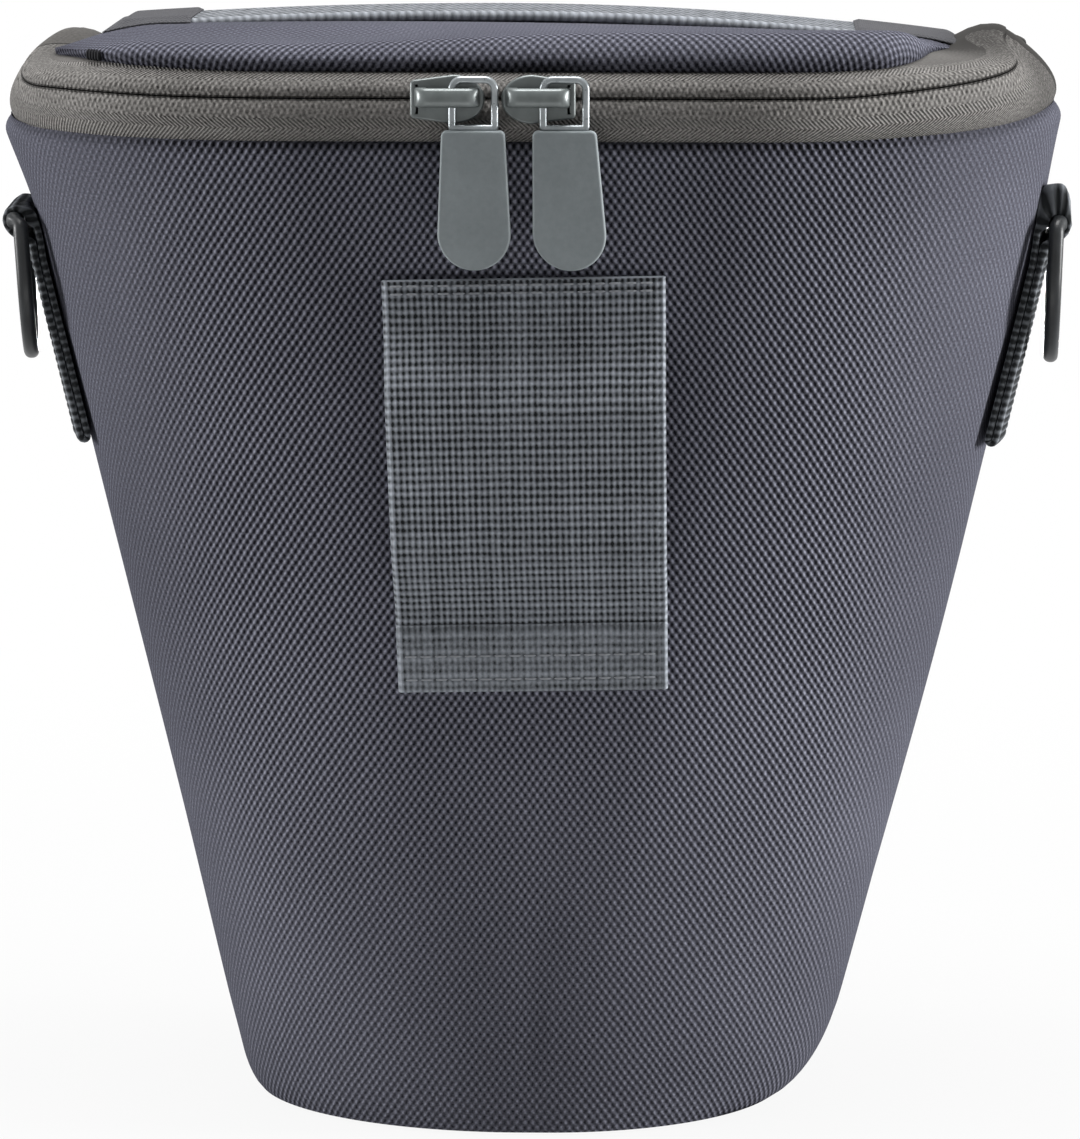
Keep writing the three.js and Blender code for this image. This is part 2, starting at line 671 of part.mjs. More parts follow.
function slider(heading) {
  const coilFloor = -coilFar - runFit;
  const plateMiddle = -runFit - plateThickness / 2;
  const innerMiddle = innerPlateNear + innerPlateThickness / 2;
  const outerPlate = plateGeometry(
    sliderPlateShape(heading, sliderHeadHalf, sliderTailHalf), plateThickness, plateMiddle,
  );
  const innerPlate = plateGeometry(
    sliderPlateShape(heading, innerPlateHalf, innerPlateHalf), innerPlateThickness, innerMiddle,
  );
  const webEnds = [heading * sliderNeck, heading * (sliderNeck - webLength)].sort((a, b) => a - b);
  const web = boxGeometry(
    [webEnds[0], plateMiddle, -webThickness / 2],
    [webEnds[1], innerMiddle, webThickness / 2],
  );
  const lip = boxGeometry(
    [sliderNeck - sliderLength / 2, tapeThickness + fit, coilFloor - lipThickness],
    [sliderLength / 2 - sliderNeck, innerMiddle, coilFloor],
  );
  const apron = boxGeometry(
    [sliderNeck - sliderLength / 2, innerPlateNear, coilFloor - lipThickness],
    [sliderLength / 2 - sliderNeck, innerPlateNear + innerPlateThickness, 0],
  );
  return geometryOf([innerPlate, web, lip, apron, bridgeGeometry()].reduce(
    (solid, geometry) => solid.add(solidOf(geometry)), solidOf(outerPlate),
  ));
}

// Pull: a metal frame that hangs on the bridge's right foot, its pivot at the origin, with a tongue that is
// held in a moulded tab
const frameBow = Math.hypot(bridgeFoot, bridgeWidth) / 2 + pivotFit;
const frameInnerHalf = frameBow + frameSpread;
const frameOuterHalf = frameInnerHalf + frameWire;
const tongueEnd = frameLegDrop + tongueLength;

function pullFrame() {
  const corner = frameCorner;
  const top = frameBow + frameWire;
  const shape = new THREE.Shape();
  shape.moveTo(-tongueHalf, -tongueEnd);
  shape.lineTo(-tongueHalf, -frameLegDrop);
  shape.lineTo(-frameOuterHalf, -frameLegDrop);
  shape.lineTo(-frameOuterHalf, top - corner);
  shape.absarc(corner - frameOuterHalf, top - corner, corner, Math.PI, Math.PI / 2, true);
  shape.absarc(frameOuterHalf - corner, top - corner, corner, Math.PI / 2, 0, true);
  shape.lineTo(frameOuterHalf, -frameLegDrop);
  shape.lineTo(tongueHalf, -frameLegDrop);
  shape.lineTo(tongueHalf, -tongueEnd);
  const hole = new THREE.Path();
  hole.moveTo(-frameInnerHalf, frameWire - frameLegDrop);
  hole.lineTo(frameInnerHalf, frameWire - frameLegDrop);
  hole.lineTo(frameInnerHalf, 0);
  hole.absellipse(0, 0, frameInnerHalf, frameBow, 0, Math.PI, false);
  shape.holes.push(hole);
  return plateGeometry(shape, frameWire, 0, frameBevel);
}

function pullTab() {
  const bowMiddle = pullHalf - pullBottom;
  const shape = new THREE.Shape();
  shape.moveTo(-pullHalf, bowMiddle);
  shape.lineTo(-pullTopHalf, -pullTop - pullCorner);
  shape.quadraticCurveTo(-pullTopHalf, -pullTop, pullCorner - pullTopHalf, -pullTop);
  shape.lineTo(pullTopHalf - pullCorner, -pullTop);
  shape.quadraticCurveTo(pullTopHalf, -pullTop, pullTopHalf, -pullTop - pullCorner);
  shape.lineTo(pullHalf, bowMiddle);
  shape.absarc(0, bowMiddle, pullHalf, 0, -Math.PI, true);
  const tab = plateGeometry(shape, pullThickness, 0, pullBevel);
  const socket = boxGeometry(
    [-tongueHalf - fit, -frameWire / 2 - fit, -tongueEnd - fit],
    [tongueHalf + fit, frameWire / 2 + fit, 0],
  );
  return geometryOf(solidOf(tab).subtract(solidOf(socket)));
}

[['left', 1, sliderLeftPlace], ['right', -1, sliderRightPlace]].forEach(([name, heading, place]) => {
  const sliderFrame = new THREE.Group();
  sliderFrame.position.set(place, -rimHalfDepth + bandFace, zipHeight);
  addPiece(sliderFrame, `zip_slider_${name}`, slider(heading), sliderMetal);
  const pull = new THREE.Group();
  pull.position.set(footPlace, plateFace - windowDepth / 2, bridgeRise);
  addPiece(pull, `pull_frame_${name}`, pullFrame(), sliderMetal);
  addPiece(pull, `pull_tab_${name}`, pullTab(), pullRubber);
  sliderFrame.add(pull);
  cameraCase.add(sliderFrame);
});

export default cameraCase;
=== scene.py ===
# Padded holster camera case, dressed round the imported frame. Lengths are in millimetres until a mesh is made.
import bpy
import numpy as np
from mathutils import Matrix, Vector


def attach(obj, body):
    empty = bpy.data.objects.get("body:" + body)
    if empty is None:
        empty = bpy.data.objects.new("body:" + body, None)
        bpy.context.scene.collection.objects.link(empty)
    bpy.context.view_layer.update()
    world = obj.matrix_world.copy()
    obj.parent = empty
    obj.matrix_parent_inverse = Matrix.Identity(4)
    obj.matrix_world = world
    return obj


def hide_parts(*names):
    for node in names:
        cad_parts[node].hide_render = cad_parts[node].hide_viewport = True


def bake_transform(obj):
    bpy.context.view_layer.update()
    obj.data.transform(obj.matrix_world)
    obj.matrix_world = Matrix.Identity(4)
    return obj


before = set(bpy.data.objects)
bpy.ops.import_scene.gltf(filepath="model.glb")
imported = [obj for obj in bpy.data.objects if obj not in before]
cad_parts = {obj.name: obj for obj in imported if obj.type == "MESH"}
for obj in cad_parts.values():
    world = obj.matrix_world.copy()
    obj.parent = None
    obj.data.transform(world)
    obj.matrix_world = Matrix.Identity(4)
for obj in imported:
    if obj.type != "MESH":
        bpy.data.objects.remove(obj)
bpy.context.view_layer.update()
mm = 0.001
print("frame:", len(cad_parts), "nodes")


def smooth(value, low, high):  # 0 below low, 1 above high, an S curve between
    share = np.clip((value - low) / (high - low), 0, 1)
    return share * share * (3 - 2 * share)


def mix(a, b, share):  # a at share 0, b at share 1
    return a + (b - a) * share


def bend(a, b, c, share):  # quadratic curve from a to c, drawn towards b
    return a * (1 - share) ** 2 + 2 * b * share * (1 - share) + c * share ** 2


def unit(vectors):
    return vectors / np.maximum(np.linalg.norm(vectors, axis=-1, keepdims=True), 1e-12)


def stack(*parts):  # coordinates side by side along a new last axis
    return np.stack(np.broadcast_arrays(*parts), -1)


def join(*parts):  # rows of the parts one after the other
    return np.concatenate(parts)


def closeRows(grid):  # the first row once more at the end
    return np.concatenate([grid, grid[:1]])


def closeCols(grid):  # the first column once more at the end
    return np.concatenate([grid, grid[:, :1]], 1)


def arc(centre, radius, start, end, count):  # points [n, 2] on a circle or, with two radii, an ellipse; degrees
    angle = np.radians(np.linspace(start, end, count))
    return np.array(centre) + np.array(radius) * stack(np.cos(angle), np.sin(angle))


def lengthAlong(points, axis=0):  # running length of rows of points, from 0
    step = np.linalg.norm(np.diff(points, axis=axis), axis=-1)
    start = np.zeros_like(np.take(step, [0], axis=axis))
    return np.concatenate([start, np.cumsum(step, axis=axis)], axis=axis)


def evenPath(points, count):  # the same path in equal steps
    length = lengthAlong(points)
    at = np.linspace(0, length[-1], count)
    return stack(*(np.interp(at, length, points[:, k]) for k in range(points.shape[1])))


# Shells: points, four-cornered faces, the faces' corner UVs and end caps, plain arrays until a mesh is made

# Faces of a grid of rows and columns as the row and column of their four corners
def gridCorners(rows, cols):
    r, c = np.meshgrid(np.arange(rows), np.arange(cols), indexing="ij")
    return [(r, c), (r, c + 1), (r + 1, c + 1), (r + 1, c)]


# Grid of points [row, column] as quads; a grid that wraps joins its last row or column to the first.
# uv is per point, with one row or column more where the grid wraps, or per face corner
def gridShell(points, wrapRows=False, wrapCols=False, uv=None, capRows=False, capCols=False):
    rows, cols = points.shape[:2]
    corners = gridCorners(rows if wrapRows else rows - 1, cols if wrapCols else cols - 1)
    quads = np.stack([(a % rows) * cols + b % cols for a, b in corners], -1).reshape(-1, 4)
    if uv is None:
        uv = np.zeros((len(quads), 4, 2))
    elif uv.ndim == 3:
        uv = np.stack([uv[a, b] for a, b in corners], 2)
    index = np.arange(rows * cols).reshape(rows, cols)
    caps = []
    if capRows:
        caps += [index[0].tolist(), index[-1][::-1].tolist()]
    if capCols:
        caps += [index[:, 0][::-1].tolist(), index[:, -1].tolist()]
    return turnOut({"points": points.reshape(-1, 3), "quads": quads, "uv": uv.reshape(-1, 4, 2), "caps": caps})


# Faces a closed shell outwards: its volume, summed over the faces as tetrahedra on its middle, has to be positive
def turnOut(shell):
    p = shell["points"] - shell["points"].mean(0)
    a, b, c, d = (p[shell["quads"][:, k]] for k in range(4))
    volume = (a * np.cross(b, c)).sum() + (a * np.cross(c, d)).sum()
    for cap in shell["caps"]:
        fan = p[cap]
        volume += (fan[0] * np.cross(fan[1:-1], fan[2:])).sum()
    if volume < 0:
        shell["quads"] = shell["quads"][:, ::-1]
        shell["uv"] = shell["uv"][:, ::-1]
        shell["caps"] = [cap[::-1] for cap in shell["caps"]]
    return shell


# One object from shells, smooth shaded with edges sharper than an angle left crisp
def makePiece(name, shells, finish, body, nodes=(), crisp=38):
    starts = np.cumsum([0] + [len(s["points"]) for s in shells])
    points = np.concatenate([s["points"] for s in shells]) * mm
    quads = np.concatenate([s["quads"] + k for s, k in zip(shells, starts)])
    caps = [[v + int(k) for v in cap] for s, k in zip(shells, starts) for cap in s["caps"]]
    mesh = bpy.data.meshes.new(name)
    mesh.from_pydata(points, [], quads.tolist() + caps)
    layer = mesh.uv_layers.new(name="weave")
    flat = np.zeros((len(mesh.loops), 2))
    cornerUv = np.concatenate([s["uv"].reshape(-1, 2) for s in shells]) * mm
    flat[:len(cornerUv)] = cornerUv
    layer.data.foreach_set("uv", flat.ravel())
    mesh.polygons.foreach_set("use_smooth", np.ones(len(mesh.polygons), bool))
    mesh.set_sharp_from_angle(angle=np.radians(crisp))
    mesh.materials.append(finish)
    mesh.validate()
    piece = bpy.data.objects.new(name, mesh)
    bpy.context.scene.collection.objects.link(piece)
    if body:
        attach(piece, body)
    if nodes:
        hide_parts(*nodes)
    return piece


# Section [n, 2] carried along a path: each section point lies at path + across * first + outward * second
def sweepShell(path, across, outward, section, closed=False):
    points = path[:, None] + across[:, None] * section[None, :, :1] + outward[:, None] * section[None, :, 1:]
    return gridShell(points, wrapRows=closed, wrapCols=True, capRows=not closed)


# Round-cornered rectangle as a section: a square-cornered core pushed out by quarter circles
def roundSection(width, height, radius, steps=4):
    turn = np.linspace(0, np.pi / 2, steps + 1)
    angle = (np.arange(4)[:, None] * np.pi / 2 + turn).ravel()
    sx = np.repeat([1, -1, -1, 1], steps + 1) * (width / 2 - radius)
    sy = np.repeat([1, 1, -1, -1], steps + 1) * (height / 2 - radius)
    return stack(sx + radius * np.cos(angle), sy + radius * np.sin(angle))


# Finishes: each helper adds its node to the tree of the socket that it is given

def calc(kind, *values, clamp=False):  # one Math node for sockets and numbers
    tree = next(value for value in values if not isinstance(value, (int, float))).id_data
    node = tree.nodes.new("ShaderNodeMath")
    node.operation = kind
    node.use_clamp = clamp
    for place, value in enumerate(values):
        if isinstance(value, (int, float)):
            node.inputs[place].default_value = value
        else:
            tree.links.new(value, node.inputs[place])
    return node.outputs[0]


def plus(a, b):
    return calc("ADD", a, b)


def minus(a, b):
    return calc("SUBTRACT", a, b)


def times(a, b):
    return calc("MULTIPLY", a, b)


def timesPlus(a, b, c, clamp=False):  # a times b, plus c
    return calc("MULTIPLY_ADD", a, b, c, clamp=clamp)


def feed(value, node, name):  # links a socket to an input of a node
    value.id_data.links.new(value, node.inputs[name])


def ramp(value, stops):  # colours at places from 0 to 1
    node = value.id_data.nodes.new("ShaderNodeValToRGB")
    for place, (at, colour) in enumerate(stops):
        stop = node.color_ramp.elements[place] if place < 2 else node.color_ramp.elements.new(at)
        stop.position = at
        stop.color = (*colour, 1)
    feed(value, node, "Fac")
    return node.outputs["Color"]


def noise(place, scale, detail=2.0):
    node = place.id_data.nodes.new("ShaderNodeTexNoise")
    node.inputs["Scale"].default_value = scale
    node.inputs["Detail"].default_value = detail
    feed(place, node, "Vector")
    return node.outputs[0]


def speck(place, scale, detail=2.0):  # noise about 0
    return minus(noise(place, scale, detail), 0.5)


def stretched(u, v, shareU, shareV):  # place for a noise drawn out along u or v
    node = u.id_data.nodes.new("ShaderNodeCombineXYZ")
    feed(times(u, shareU), node, 0)
    feed(times(v, shareV), node, 1)
    return node.outputs[0]


def ease(value, low, high):  # 0 below low, 1 above high, an S curve between
    node = value.id_data.nodes.new("ShaderNodeMapRange")
    node.interpolation_type = "SMOOTHSTEP"
    node.inputs["From Min"].default_value = low
    node.inputs["From Max"].default_value = high
    feed(value, node, "Value")
    return node.outputs[0]


def wave(value, length, phase=0.0):  # sine of that wavelength, in metres
    return calc("SINE", timesPlus(value, 2 * np.pi / length, phase))


def bumpTo(shader, height, distance, strength):
    node = height.id_data.nodes.new("ShaderNodeBump")
    node.inputs["Distance"].default_value = distance
    node.inputs["Strength"].default_value = strength
    feed(height, node, "Height")
    feed(node.outputs[0], shader, "Normal")


def objectPlace(tree):
    return tree.nodes.new("ShaderNodeTexCoord").outputs["Object"]


def weaveUv(tree):  # the piece's own map, in metres: u along, v across
    node = tree.nodes.new("ShaderNodeUVMap")
    node.uv_map = "weave"
    split = tree.nodes.new("ShaderNodeSeparateXYZ")
    feed(node.outputs[0], split, 0)
    return node.outputs[0], split.outputs[0], split.outputs[1]


def newFinish(name, roughness, metallic=0.0, specular=0.5):
    finish = bpy.data.materials.new(name)
    finish.use_nodes = True
    shader = finish.node_tree.nodes["Principled BSDF"]
    shader.inputs["Roughness"].default_value = roughness
    shader.inputs["Metallic"].default_value = metallic
    shader.inputs["Specular IOR Level"].default_value = specular
    return finish, finish.node_tree, shader


# Thick plain weave: light yarn crowns on a slanted lattice with near-black gaps, u and v pitch in metres. One of
# the two slants shows more on each side of the middle, where u is 0: a painted highlight, lean strengthening the
# slant that the side lamp on that side lights. The relief is lower near the foot, where v is small, and round the
# sides, by the two shares in calm; calmFrom names an attribute that gives the sides instead. under darkens the
# cloth below a
# height: painted shade in the crease where the cloth turns in
fabricLook = {
    "pitch": (0.001467, 0.00215), "wander": 0.0004, "wanderScale": (130.0, 90.0),
    "dark": (0.009, 0.009, 0.012), "middle": (0.072, 0.073, 0.090), "light": (0.250, 0.255, 0.312),
    "level": 0.43, "contrast": 0.27, "fibre": 0.35, "cloud": 0.16, "relief": 0.00022,
    "lean": 0.17, "leanAt": 0.035, "under": (),
    "calm": (0.4, 0.74), "calmLeast": 0.24, "calmFoot": (0.02, 0.11), "calmSide": (0.048, 0.086), "calmFrom": "",
}


def weaveFinish(name, look):
    finish, tree, shader = newFinish(name, 0.6, specular=0.0)
    place, u, v = weaveUv(tree)
    warp, weft = (times(timesPlus(noise(place, scale, 1.0), look["wander"], along), 2 * np.pi / pitch)
                  for scale, along, pitch in zip(look["wanderScale"], (u, v), look["pitch"]))
    # painted highlight: lean weights the slant that the lamp on that side of the middle lights
    lean = calc("MINIMUM", calc("MAXIMUM", times(u, 1 / look["leanAt"]), -1.0), 1.0)
    rising = times(calc("COSINE", minus(warp, weft)), timesPlus(lean, -look["lean"], 0.5))
    falling = times(calc("COSINE", plus(warp, weft)), timesPlus(lean, look["lean"], 0.5))
    foot, side = look["calm"]
    calm = timesPlus(ease(v, *look["calmFoot"]), foot, 1 - foot)
    if look["calmFrom"]:
        drawn = tree.nodes.new("ShaderNodeAttribute")
        drawn.attribute_name = look["calmFrom"]
        aside = drawn.outputs["Fac"]
    else:
        aside = ease(calc("ABSOLUTE", u), *look["calmSide"])
    calm = calc("MAXIMUM", timesPlus(aside, -side, calm), look["calmLeast"])
    crown = times(minus(rising, falling), calm)
    tone = timesPlus(crown, look["contrast"], look["level"])
    tone = timesPlus(speck(place, 2600.0), look["fibre"], tone)
    # painted shade: the tone drops by depth below the height low, in the crease where the cloth turns in
    if look["under"]:
        low, high, depth = look["under"]
        split = tree.nodes.new("ShaderNodeSeparateXYZ")
        feed(objectPlace(tree), split, 0)
        tone = timesPlus(ease(split.outputs[2], low, high), depth, minus(tone, depth))
    tone = timesPlus(speck(place, 14.0, 3.0), look["cloud"], tone, clamp=True)
    stops = [(0.22, look["dark"]), (0.78, look["light"]), (0.47, look["middle"])]
    feed(ramp(tone, stops), shader, "Base Color")
    bumpTo(shader, crown, look["relief"], 0.9)
    return finish


caseWeave = weaveFinish("caseWeave", {**fabricLook, "calmFrom": "drawn"})
# the lid's cloth has painted shade on its lower edge, where it turns in over the zip
lidWeave = weaveFinish("lidWeave", {**fabricLook, "calm": (0.35, 0.1), "under": (0.1955, 0.1995, 0.13)})
print("finishes started")


# Form of the case: the CAD's plan and taper as (base, rim) pairs for x and y, with the slack of the sewn one.
# heel, tuck and rimLift are (left, right): the right foot corner is rounder, the middle of the body leans to the
# right, and the mouth stands up into an ear on each side
caseForm = {
    "rim": 184.0, "zip": 191.3, "half": ((53.2, 95.2), (44.0, 64.0)),
    "rear": ((50.0, 59.0), (41.0, 50.0)), "front": ((45.0, 60.0), (42.0, 66.0)), "cornerFill": 0.96,
    "heel": (7.5, 17.0), "tuck": (2.6, 8.5), "tuckDepth": 0.7, "lean": 0.6, "puff": 0.9,
    "swellFrom": (2, 20), "swellTo": (166, 183), "seams": (2.6, 4.4), "pinch": 0.5, "pinchWidth": 0.02,
    "ripples": ((0.20, 7, 0.7, 19, 1.1), (0.15, 12, 2.1, 27, 0.0)), "earStart": 150.0, "rimLift": (0.2, 0.42),
}
rim = caseForm["rim"]
zipLine = caseForm["zip"]
# Slack of the sides and lift of the mouth. Here and below, names with At, From, To or fade hold the two places
# between which a change comes in or fades; corner and rise are (left, right)
slackForm = {"left": 0.8, "leftFoot": 0.5, "footAt": (0, 60), "leftMouth": 2.5, "mouthAt": (164, 186),
             "right": 1.1, "rightMiddle": 110}
earForm = {"corner": (0.4, 2.0), "cornerAt": ((60, 90), (50, 85)), "rise": (7.6, 7.2),
           "riseAt": ((-42, -2), (-56, -12)), "fade": (-12, 50), "side": (20, 60), "wallAt": (-40, 40),
           "leanLift": (2.5, 8.5), "leanLeft": (-46, 0), "leanSide": (50, 80), "leanFade": (-8, 44)}


def tapered(name, axis, z):  # a size of the plan at height z, from its value at the base to the one at the rim
    return mix(*caseForm[name][axis], np.clip(z / rim, 0, 1))


# Slack of the sewn sides: the left one stands out, most of all at the mouth, and the right one is drawn in at
# the foot
def sideSlack(z, right):
    form = slackForm
    left = form["left"] + form["leftFoot"] * (1 - smooth(z, *form["footAt"]))
    left = left + form["leftMouth"] * smooth(z, *form["mouthAt"])
    middle = form["rightMiddle"]
    return mix(left, form["right"] * (smooth(z, middle, rim) - 1 + smooth(z, 0, middle)), right)


# Plan at height z drawn in by inset. Station q runs anticlockwise from the rear right: an even whole number starts
# a corner, a quarter ellipse, and an odd one the straight run after it, so 7.5 is the middle of the rear
def outline(q, inset, z):
    q, inset, z = np.broadcast_arrays(*(np.asarray(v, float) for v in (q, inset, z)))
    q = q % 8
    right = np.interp(q, [0, 3, 4, 7, 8], [1, 1, 0, 0, 1])
    tuck = 1 - np.sqrt(1 - np.clip(1 - z / mix(*caseForm["heel"], right), 0, 1) ** 2)
    halfX = tapered("half", 0, z) + sideSlack(z, right) - mix(*caseForm["tuck"], right) * tuck - inset
    halfY = tapered("half", 1, z) - caseForm["tuckDepth"] * tuck - inset
    rear, front = ([np.maximum(tapered(name, k, z) - inset, 2) for k in (0, 1)] for name in ("rear", "front"))
    squeeze = np.minimum(1, 2 * caseForm["cornerFill"] * halfY / (rear[1] + front[1]))
    part = np.floor(q).astype(int)
    share = q - part
    corner = part // 2
    run = part % 2 == 1

    def cornerPoint(corner, along):
        ahead = (corner == 1) | (corner == 2)
        reachX = np.minimum(np.where(ahead, front[0], rear[0]), caseForm["cornerFill"] * halfX)
        reachY = np.where(ahead, front[1], rear[1]) * squeeze
        angle = (corner - 1 + along) * np.pi / 2
        return (np.where(corner < 2, 1, -1) * (halfX - reachX) + reachX * np.cos(angle),
                np.where(ahead, 1, -1) * (halfY - reachY) + reachY * np.sin(angle))

    xA, yA = cornerPoint(corner, np.where(run, 1.0, share))
    xB, yB = cornerPoint((corner + 1) % 4, np.zeros_like(share))
    return np.where(run, mix(xA, xB, share), xA), np.where(run, mix(yA, yB, share), yA)


def planNormal(q, inset, z):  # outward normal of the plan, from the run of the outline to both sides
    xA, yA = outline(np.asarray(q) - 0.01, inset, z)
    xB, yB = outline(np.asarray(q) + 0.01, inset, z)
    size = np.hypot(xB - xA, yB - yA)
    return (yB - yA) / size, (xA - xB) / size


def evenStations(start, end, count):  # stations at equal lengths along the rim, and the whole length
    q = np.linspace(start, end, 6001)
    length = lengthAlong(np.stack(outline(q, 0, rim), -1))
    return np.interp(np.linspace(0, length[-1], count), length, q), length[-1]


def allRound(count):  # the same once round, from the middle of the front
    return evenStations(3.5, 11.5, count + 1)[0][:-1]


# Lift of the mouth: the rear corners rise a little and the sides rise to an ear, which fades towards the hinge
def mouthLift(q):
    form = earForm
    x, y = outline(q, 0, rim)
    left, right = (form["corner"][k] * smooth(np.abs(x), *form["cornerAt"][k])
                   + form["rise"][k] * smooth(y, *form["riseAt"][k]) for k in (0, 1))
    return np.where(x > 0, right, left) * (1 - smooth(y, *form["fade"])) * smooth(np.abs(x), *form["side"])


def rimLift(q):  # the share of that lift which the wall's own edge takes up
    x, _ = outline(q, 0, rim)
    return mouthLift(q) * mix(*caseForm["rimLift"], smooth(x, *earForm["wallAt"]))


# Swell of the padded wall: a low crown over its height, slow ripples and a pinched line at each sewn seam
def wallSwell(q, z):
    turn = np.asarray(q) * np.pi / 4
    crown = caseForm["puff"] * np.sin(np.pi * np.clip((z - 4) / (rim - 4), 0, 1))
    ripple = sum(size * np.sin(count * turn + start) * np.sin(z / tall + phase)
                 for size, count, start, tall, phase in caseForm["ripples"])
    pinch = sum(np.exp(-((np.asarray(q) % 8 - seam) / caseForm["pinchWidth"]) ** 2)
                for seam in caseForm["seams"])
    full = smooth(z, *caseForm["swellFrom"]) * (1 - smooth(z, *caseForm["swellTo"]))
    return (crown + ripple) * full - caseForm["pinch"] * pinch


def wallPoint(q, inset, z):  # point of the padded wall at station q and height z, inset from its face
    x, y = outline(q, inset, z)
    nx, ny = planNormal(q, inset, z)
    swell = wallSwell(q, z)
    sway = caseForm["lean"] * np.sin(np.pi * np.clip(z / rim, 0, 1))
    lift = rimLift(q) * smooth(z, caseForm["earStart"], rim)
    return stack(x + nx * swell + sway, y + ny * swell, z + lift)


def bandPoint(q, inset, z):  # point of the zip's band or the lid at a true height
    return stack(*outline(q, inset, rim), z)


def ringProfile(q, profile):  # rows of [inset, height] pairs carried round the stations of the wall
    rows = np.array(profile, float)
    return wallPoint(q[None, :], rows[:, :1], rows[:, 1:])


# Wall of the bucket: one padded sleeve, its outer face from the floor to the rim, turned in at the top. cloth is
# the length of its weave to a millimetre of height. The weave is calm at a side seam, and on the front panel it
# comes back over the distances in frontCalm
wallForm = {"frontCount": 110, "rearCount": 290, "heel": (0.5, 20, 16), "rows": (21.4, 183.5, 120), "skin": 2.5,
            "roll": 2.5, "rollHeight": 3.4, "fold": [(2.0, 0.02), (2.2, -0.1), (2.4, -0.6)],
            "inside": (179, 150, 110, 70, 30, 12, 4, 1), "cloth": 1.013, "frontCalm": (4.0, 40.0)}


def buildWall():
    form = wallForm
    frontQ, _ = evenStations(*caseForm["seams"], form["frontCount"])
    rearQ, _ = evenStations(caseForm["seams"][1], caseForm["seams"][0] + 8, form["rearCount"])
    q = join(frontQ, rearQ[1:-1])
    seam = form["frontCount"] - 1
    heights = join(np.linspace(*form["heel"]), np.linspace(*form["rows"]))
    lip = np.linspace(rim - form["rollHeight"], rim - 0.15, 7)
    heights = join(heights[heights < lip[0] - 0.2], lip)
    profile = [(form["roll"] * max((z - lip[0]) / form["rollHeight"], 0) ** 2, z) for z in heights]
    profile += [(inset, rim + rise) for inset, rise in form["fold"]]
    profile += [(form["skin"], z) for z in form["inside"]]
    points = ringProfile(q, profile)
    rows, cols = points.shape[:2]
    around = closeCols(points)
    length = lengthAlong(around, 1)
    rearMiddle = int(np.argmin(np.abs(q - 7.5)))
    # the weave runs from the middle of the rear, and on the front panel from the front's own middle
    rearUv, frontUv = (closeRows(stack(length - middle, around[..., 2] * form["cloth"]))
                       for middle in (length[:, rearMiddle:rearMiddle + 1], length[:, seam:seam + 1] / 2))
    corners = gridCorners(rows, cols)
    onFront = (corners[0][1] < seam)[..., None, None]
    uv = np.where(onFront, *(np.stack([grid[a, b] for a, b in corners], 2) for grid in (frontUv, rearUv)))
    wall = makePiece("caseWall", [gridShell(points, True, True, uv)], caseWeave, "case_body",
                     ("body_shell", "wall_foam", "base_foam"), 60)
    low, high = (edge / mm for edge in fabricLook["calmSide"])
    toSeam = np.minimum(length, length[:, seam:seam + 1] - length)[:, :cols]
    drawn = np.where(np.arange(cols) <= seam, 1 - smooth(toSeam, *form["frontCalm"]),
                     smooth(np.abs(rearUv[:rows, :cols, 0]), low, high))
    share = wall.data.attributes.new("drawn", "FLOAT", "POINT")
    share.data.foreach_set("value", drawn.ravel().astype(np.float32))


buildWall()
print("wall")


# Floor panel: flat slab with a rounded lower edge, set inside the foot of the wall
floorForm = {"count": 240, "profile": [(36, 1.6), (1.4, 1.6), (1.3, 1.0), (1.7, 0.45), (2.6, 0.12), (4, 0.03),
                                       (8, 0), (20, 0), (36, 0)]}


def buildFloor():
    points = ringProfile(allRound(floorForm["count"]), floorForm["profile"])
    shell = gridShell(points, False, True, closeCols(points[..., :2]), capRows=True)
    makePiece("floorPanel", [shell], caseWeave, "case_body", ("base_panel",), 60)


buildFloor()
print("floor")


# More cloth: smooth tight lining, plain binding, and zip tape with slanted ribs and dotted cords beside the teeth
def clothFinish(name, dark, light, pitch):
    finish, tree, shader = newFinish(name, 0.8, specular=0.12)
    place, u, v = weaveUv(tree)
    thread = times(wave(u, pitch), wave(v, pitch))
    tone = timesPlus(thread, 0.22, timesPlus(noise(place, 25.0, 3.0), 0.5, 0.25), clamp=True)
    feed(ramp(tone, [(0.1, dark), (0.9, light)]), shader, "Base Color")
    bumpTo(shader, thread, 0.00012, 0.7)
    return finish


# the three ear values paint shade on the tape towards the ears
tapeLook = {
    "dark": (0.012, 0.011, 0.010), "light": (0.265, 0.254, 0.243), "relief": 0.00014,
    "rib": 0.00082, "turn": 0.0053, "slant": 1.0, "cord": 0.00108, "dotRow": 0.0020, "cordEdge": 0.0034,
    "line": 0.0003, "width": 0.0066, "level": 0.42, "tread": 0.20, "dots": -0.04, "fibre": 0.9, "cloud": 0.3,
    "upper": -0.07, "teeth": -0.45, "plain": (0.3, 0.23), "seam": -0.35, "seamHalf": 0.0004,
    "earShade": (0.04, 0.25), "earShadeLeft": (0.03, 0.0), "earShadeRight": (0.034, 0.006),
}
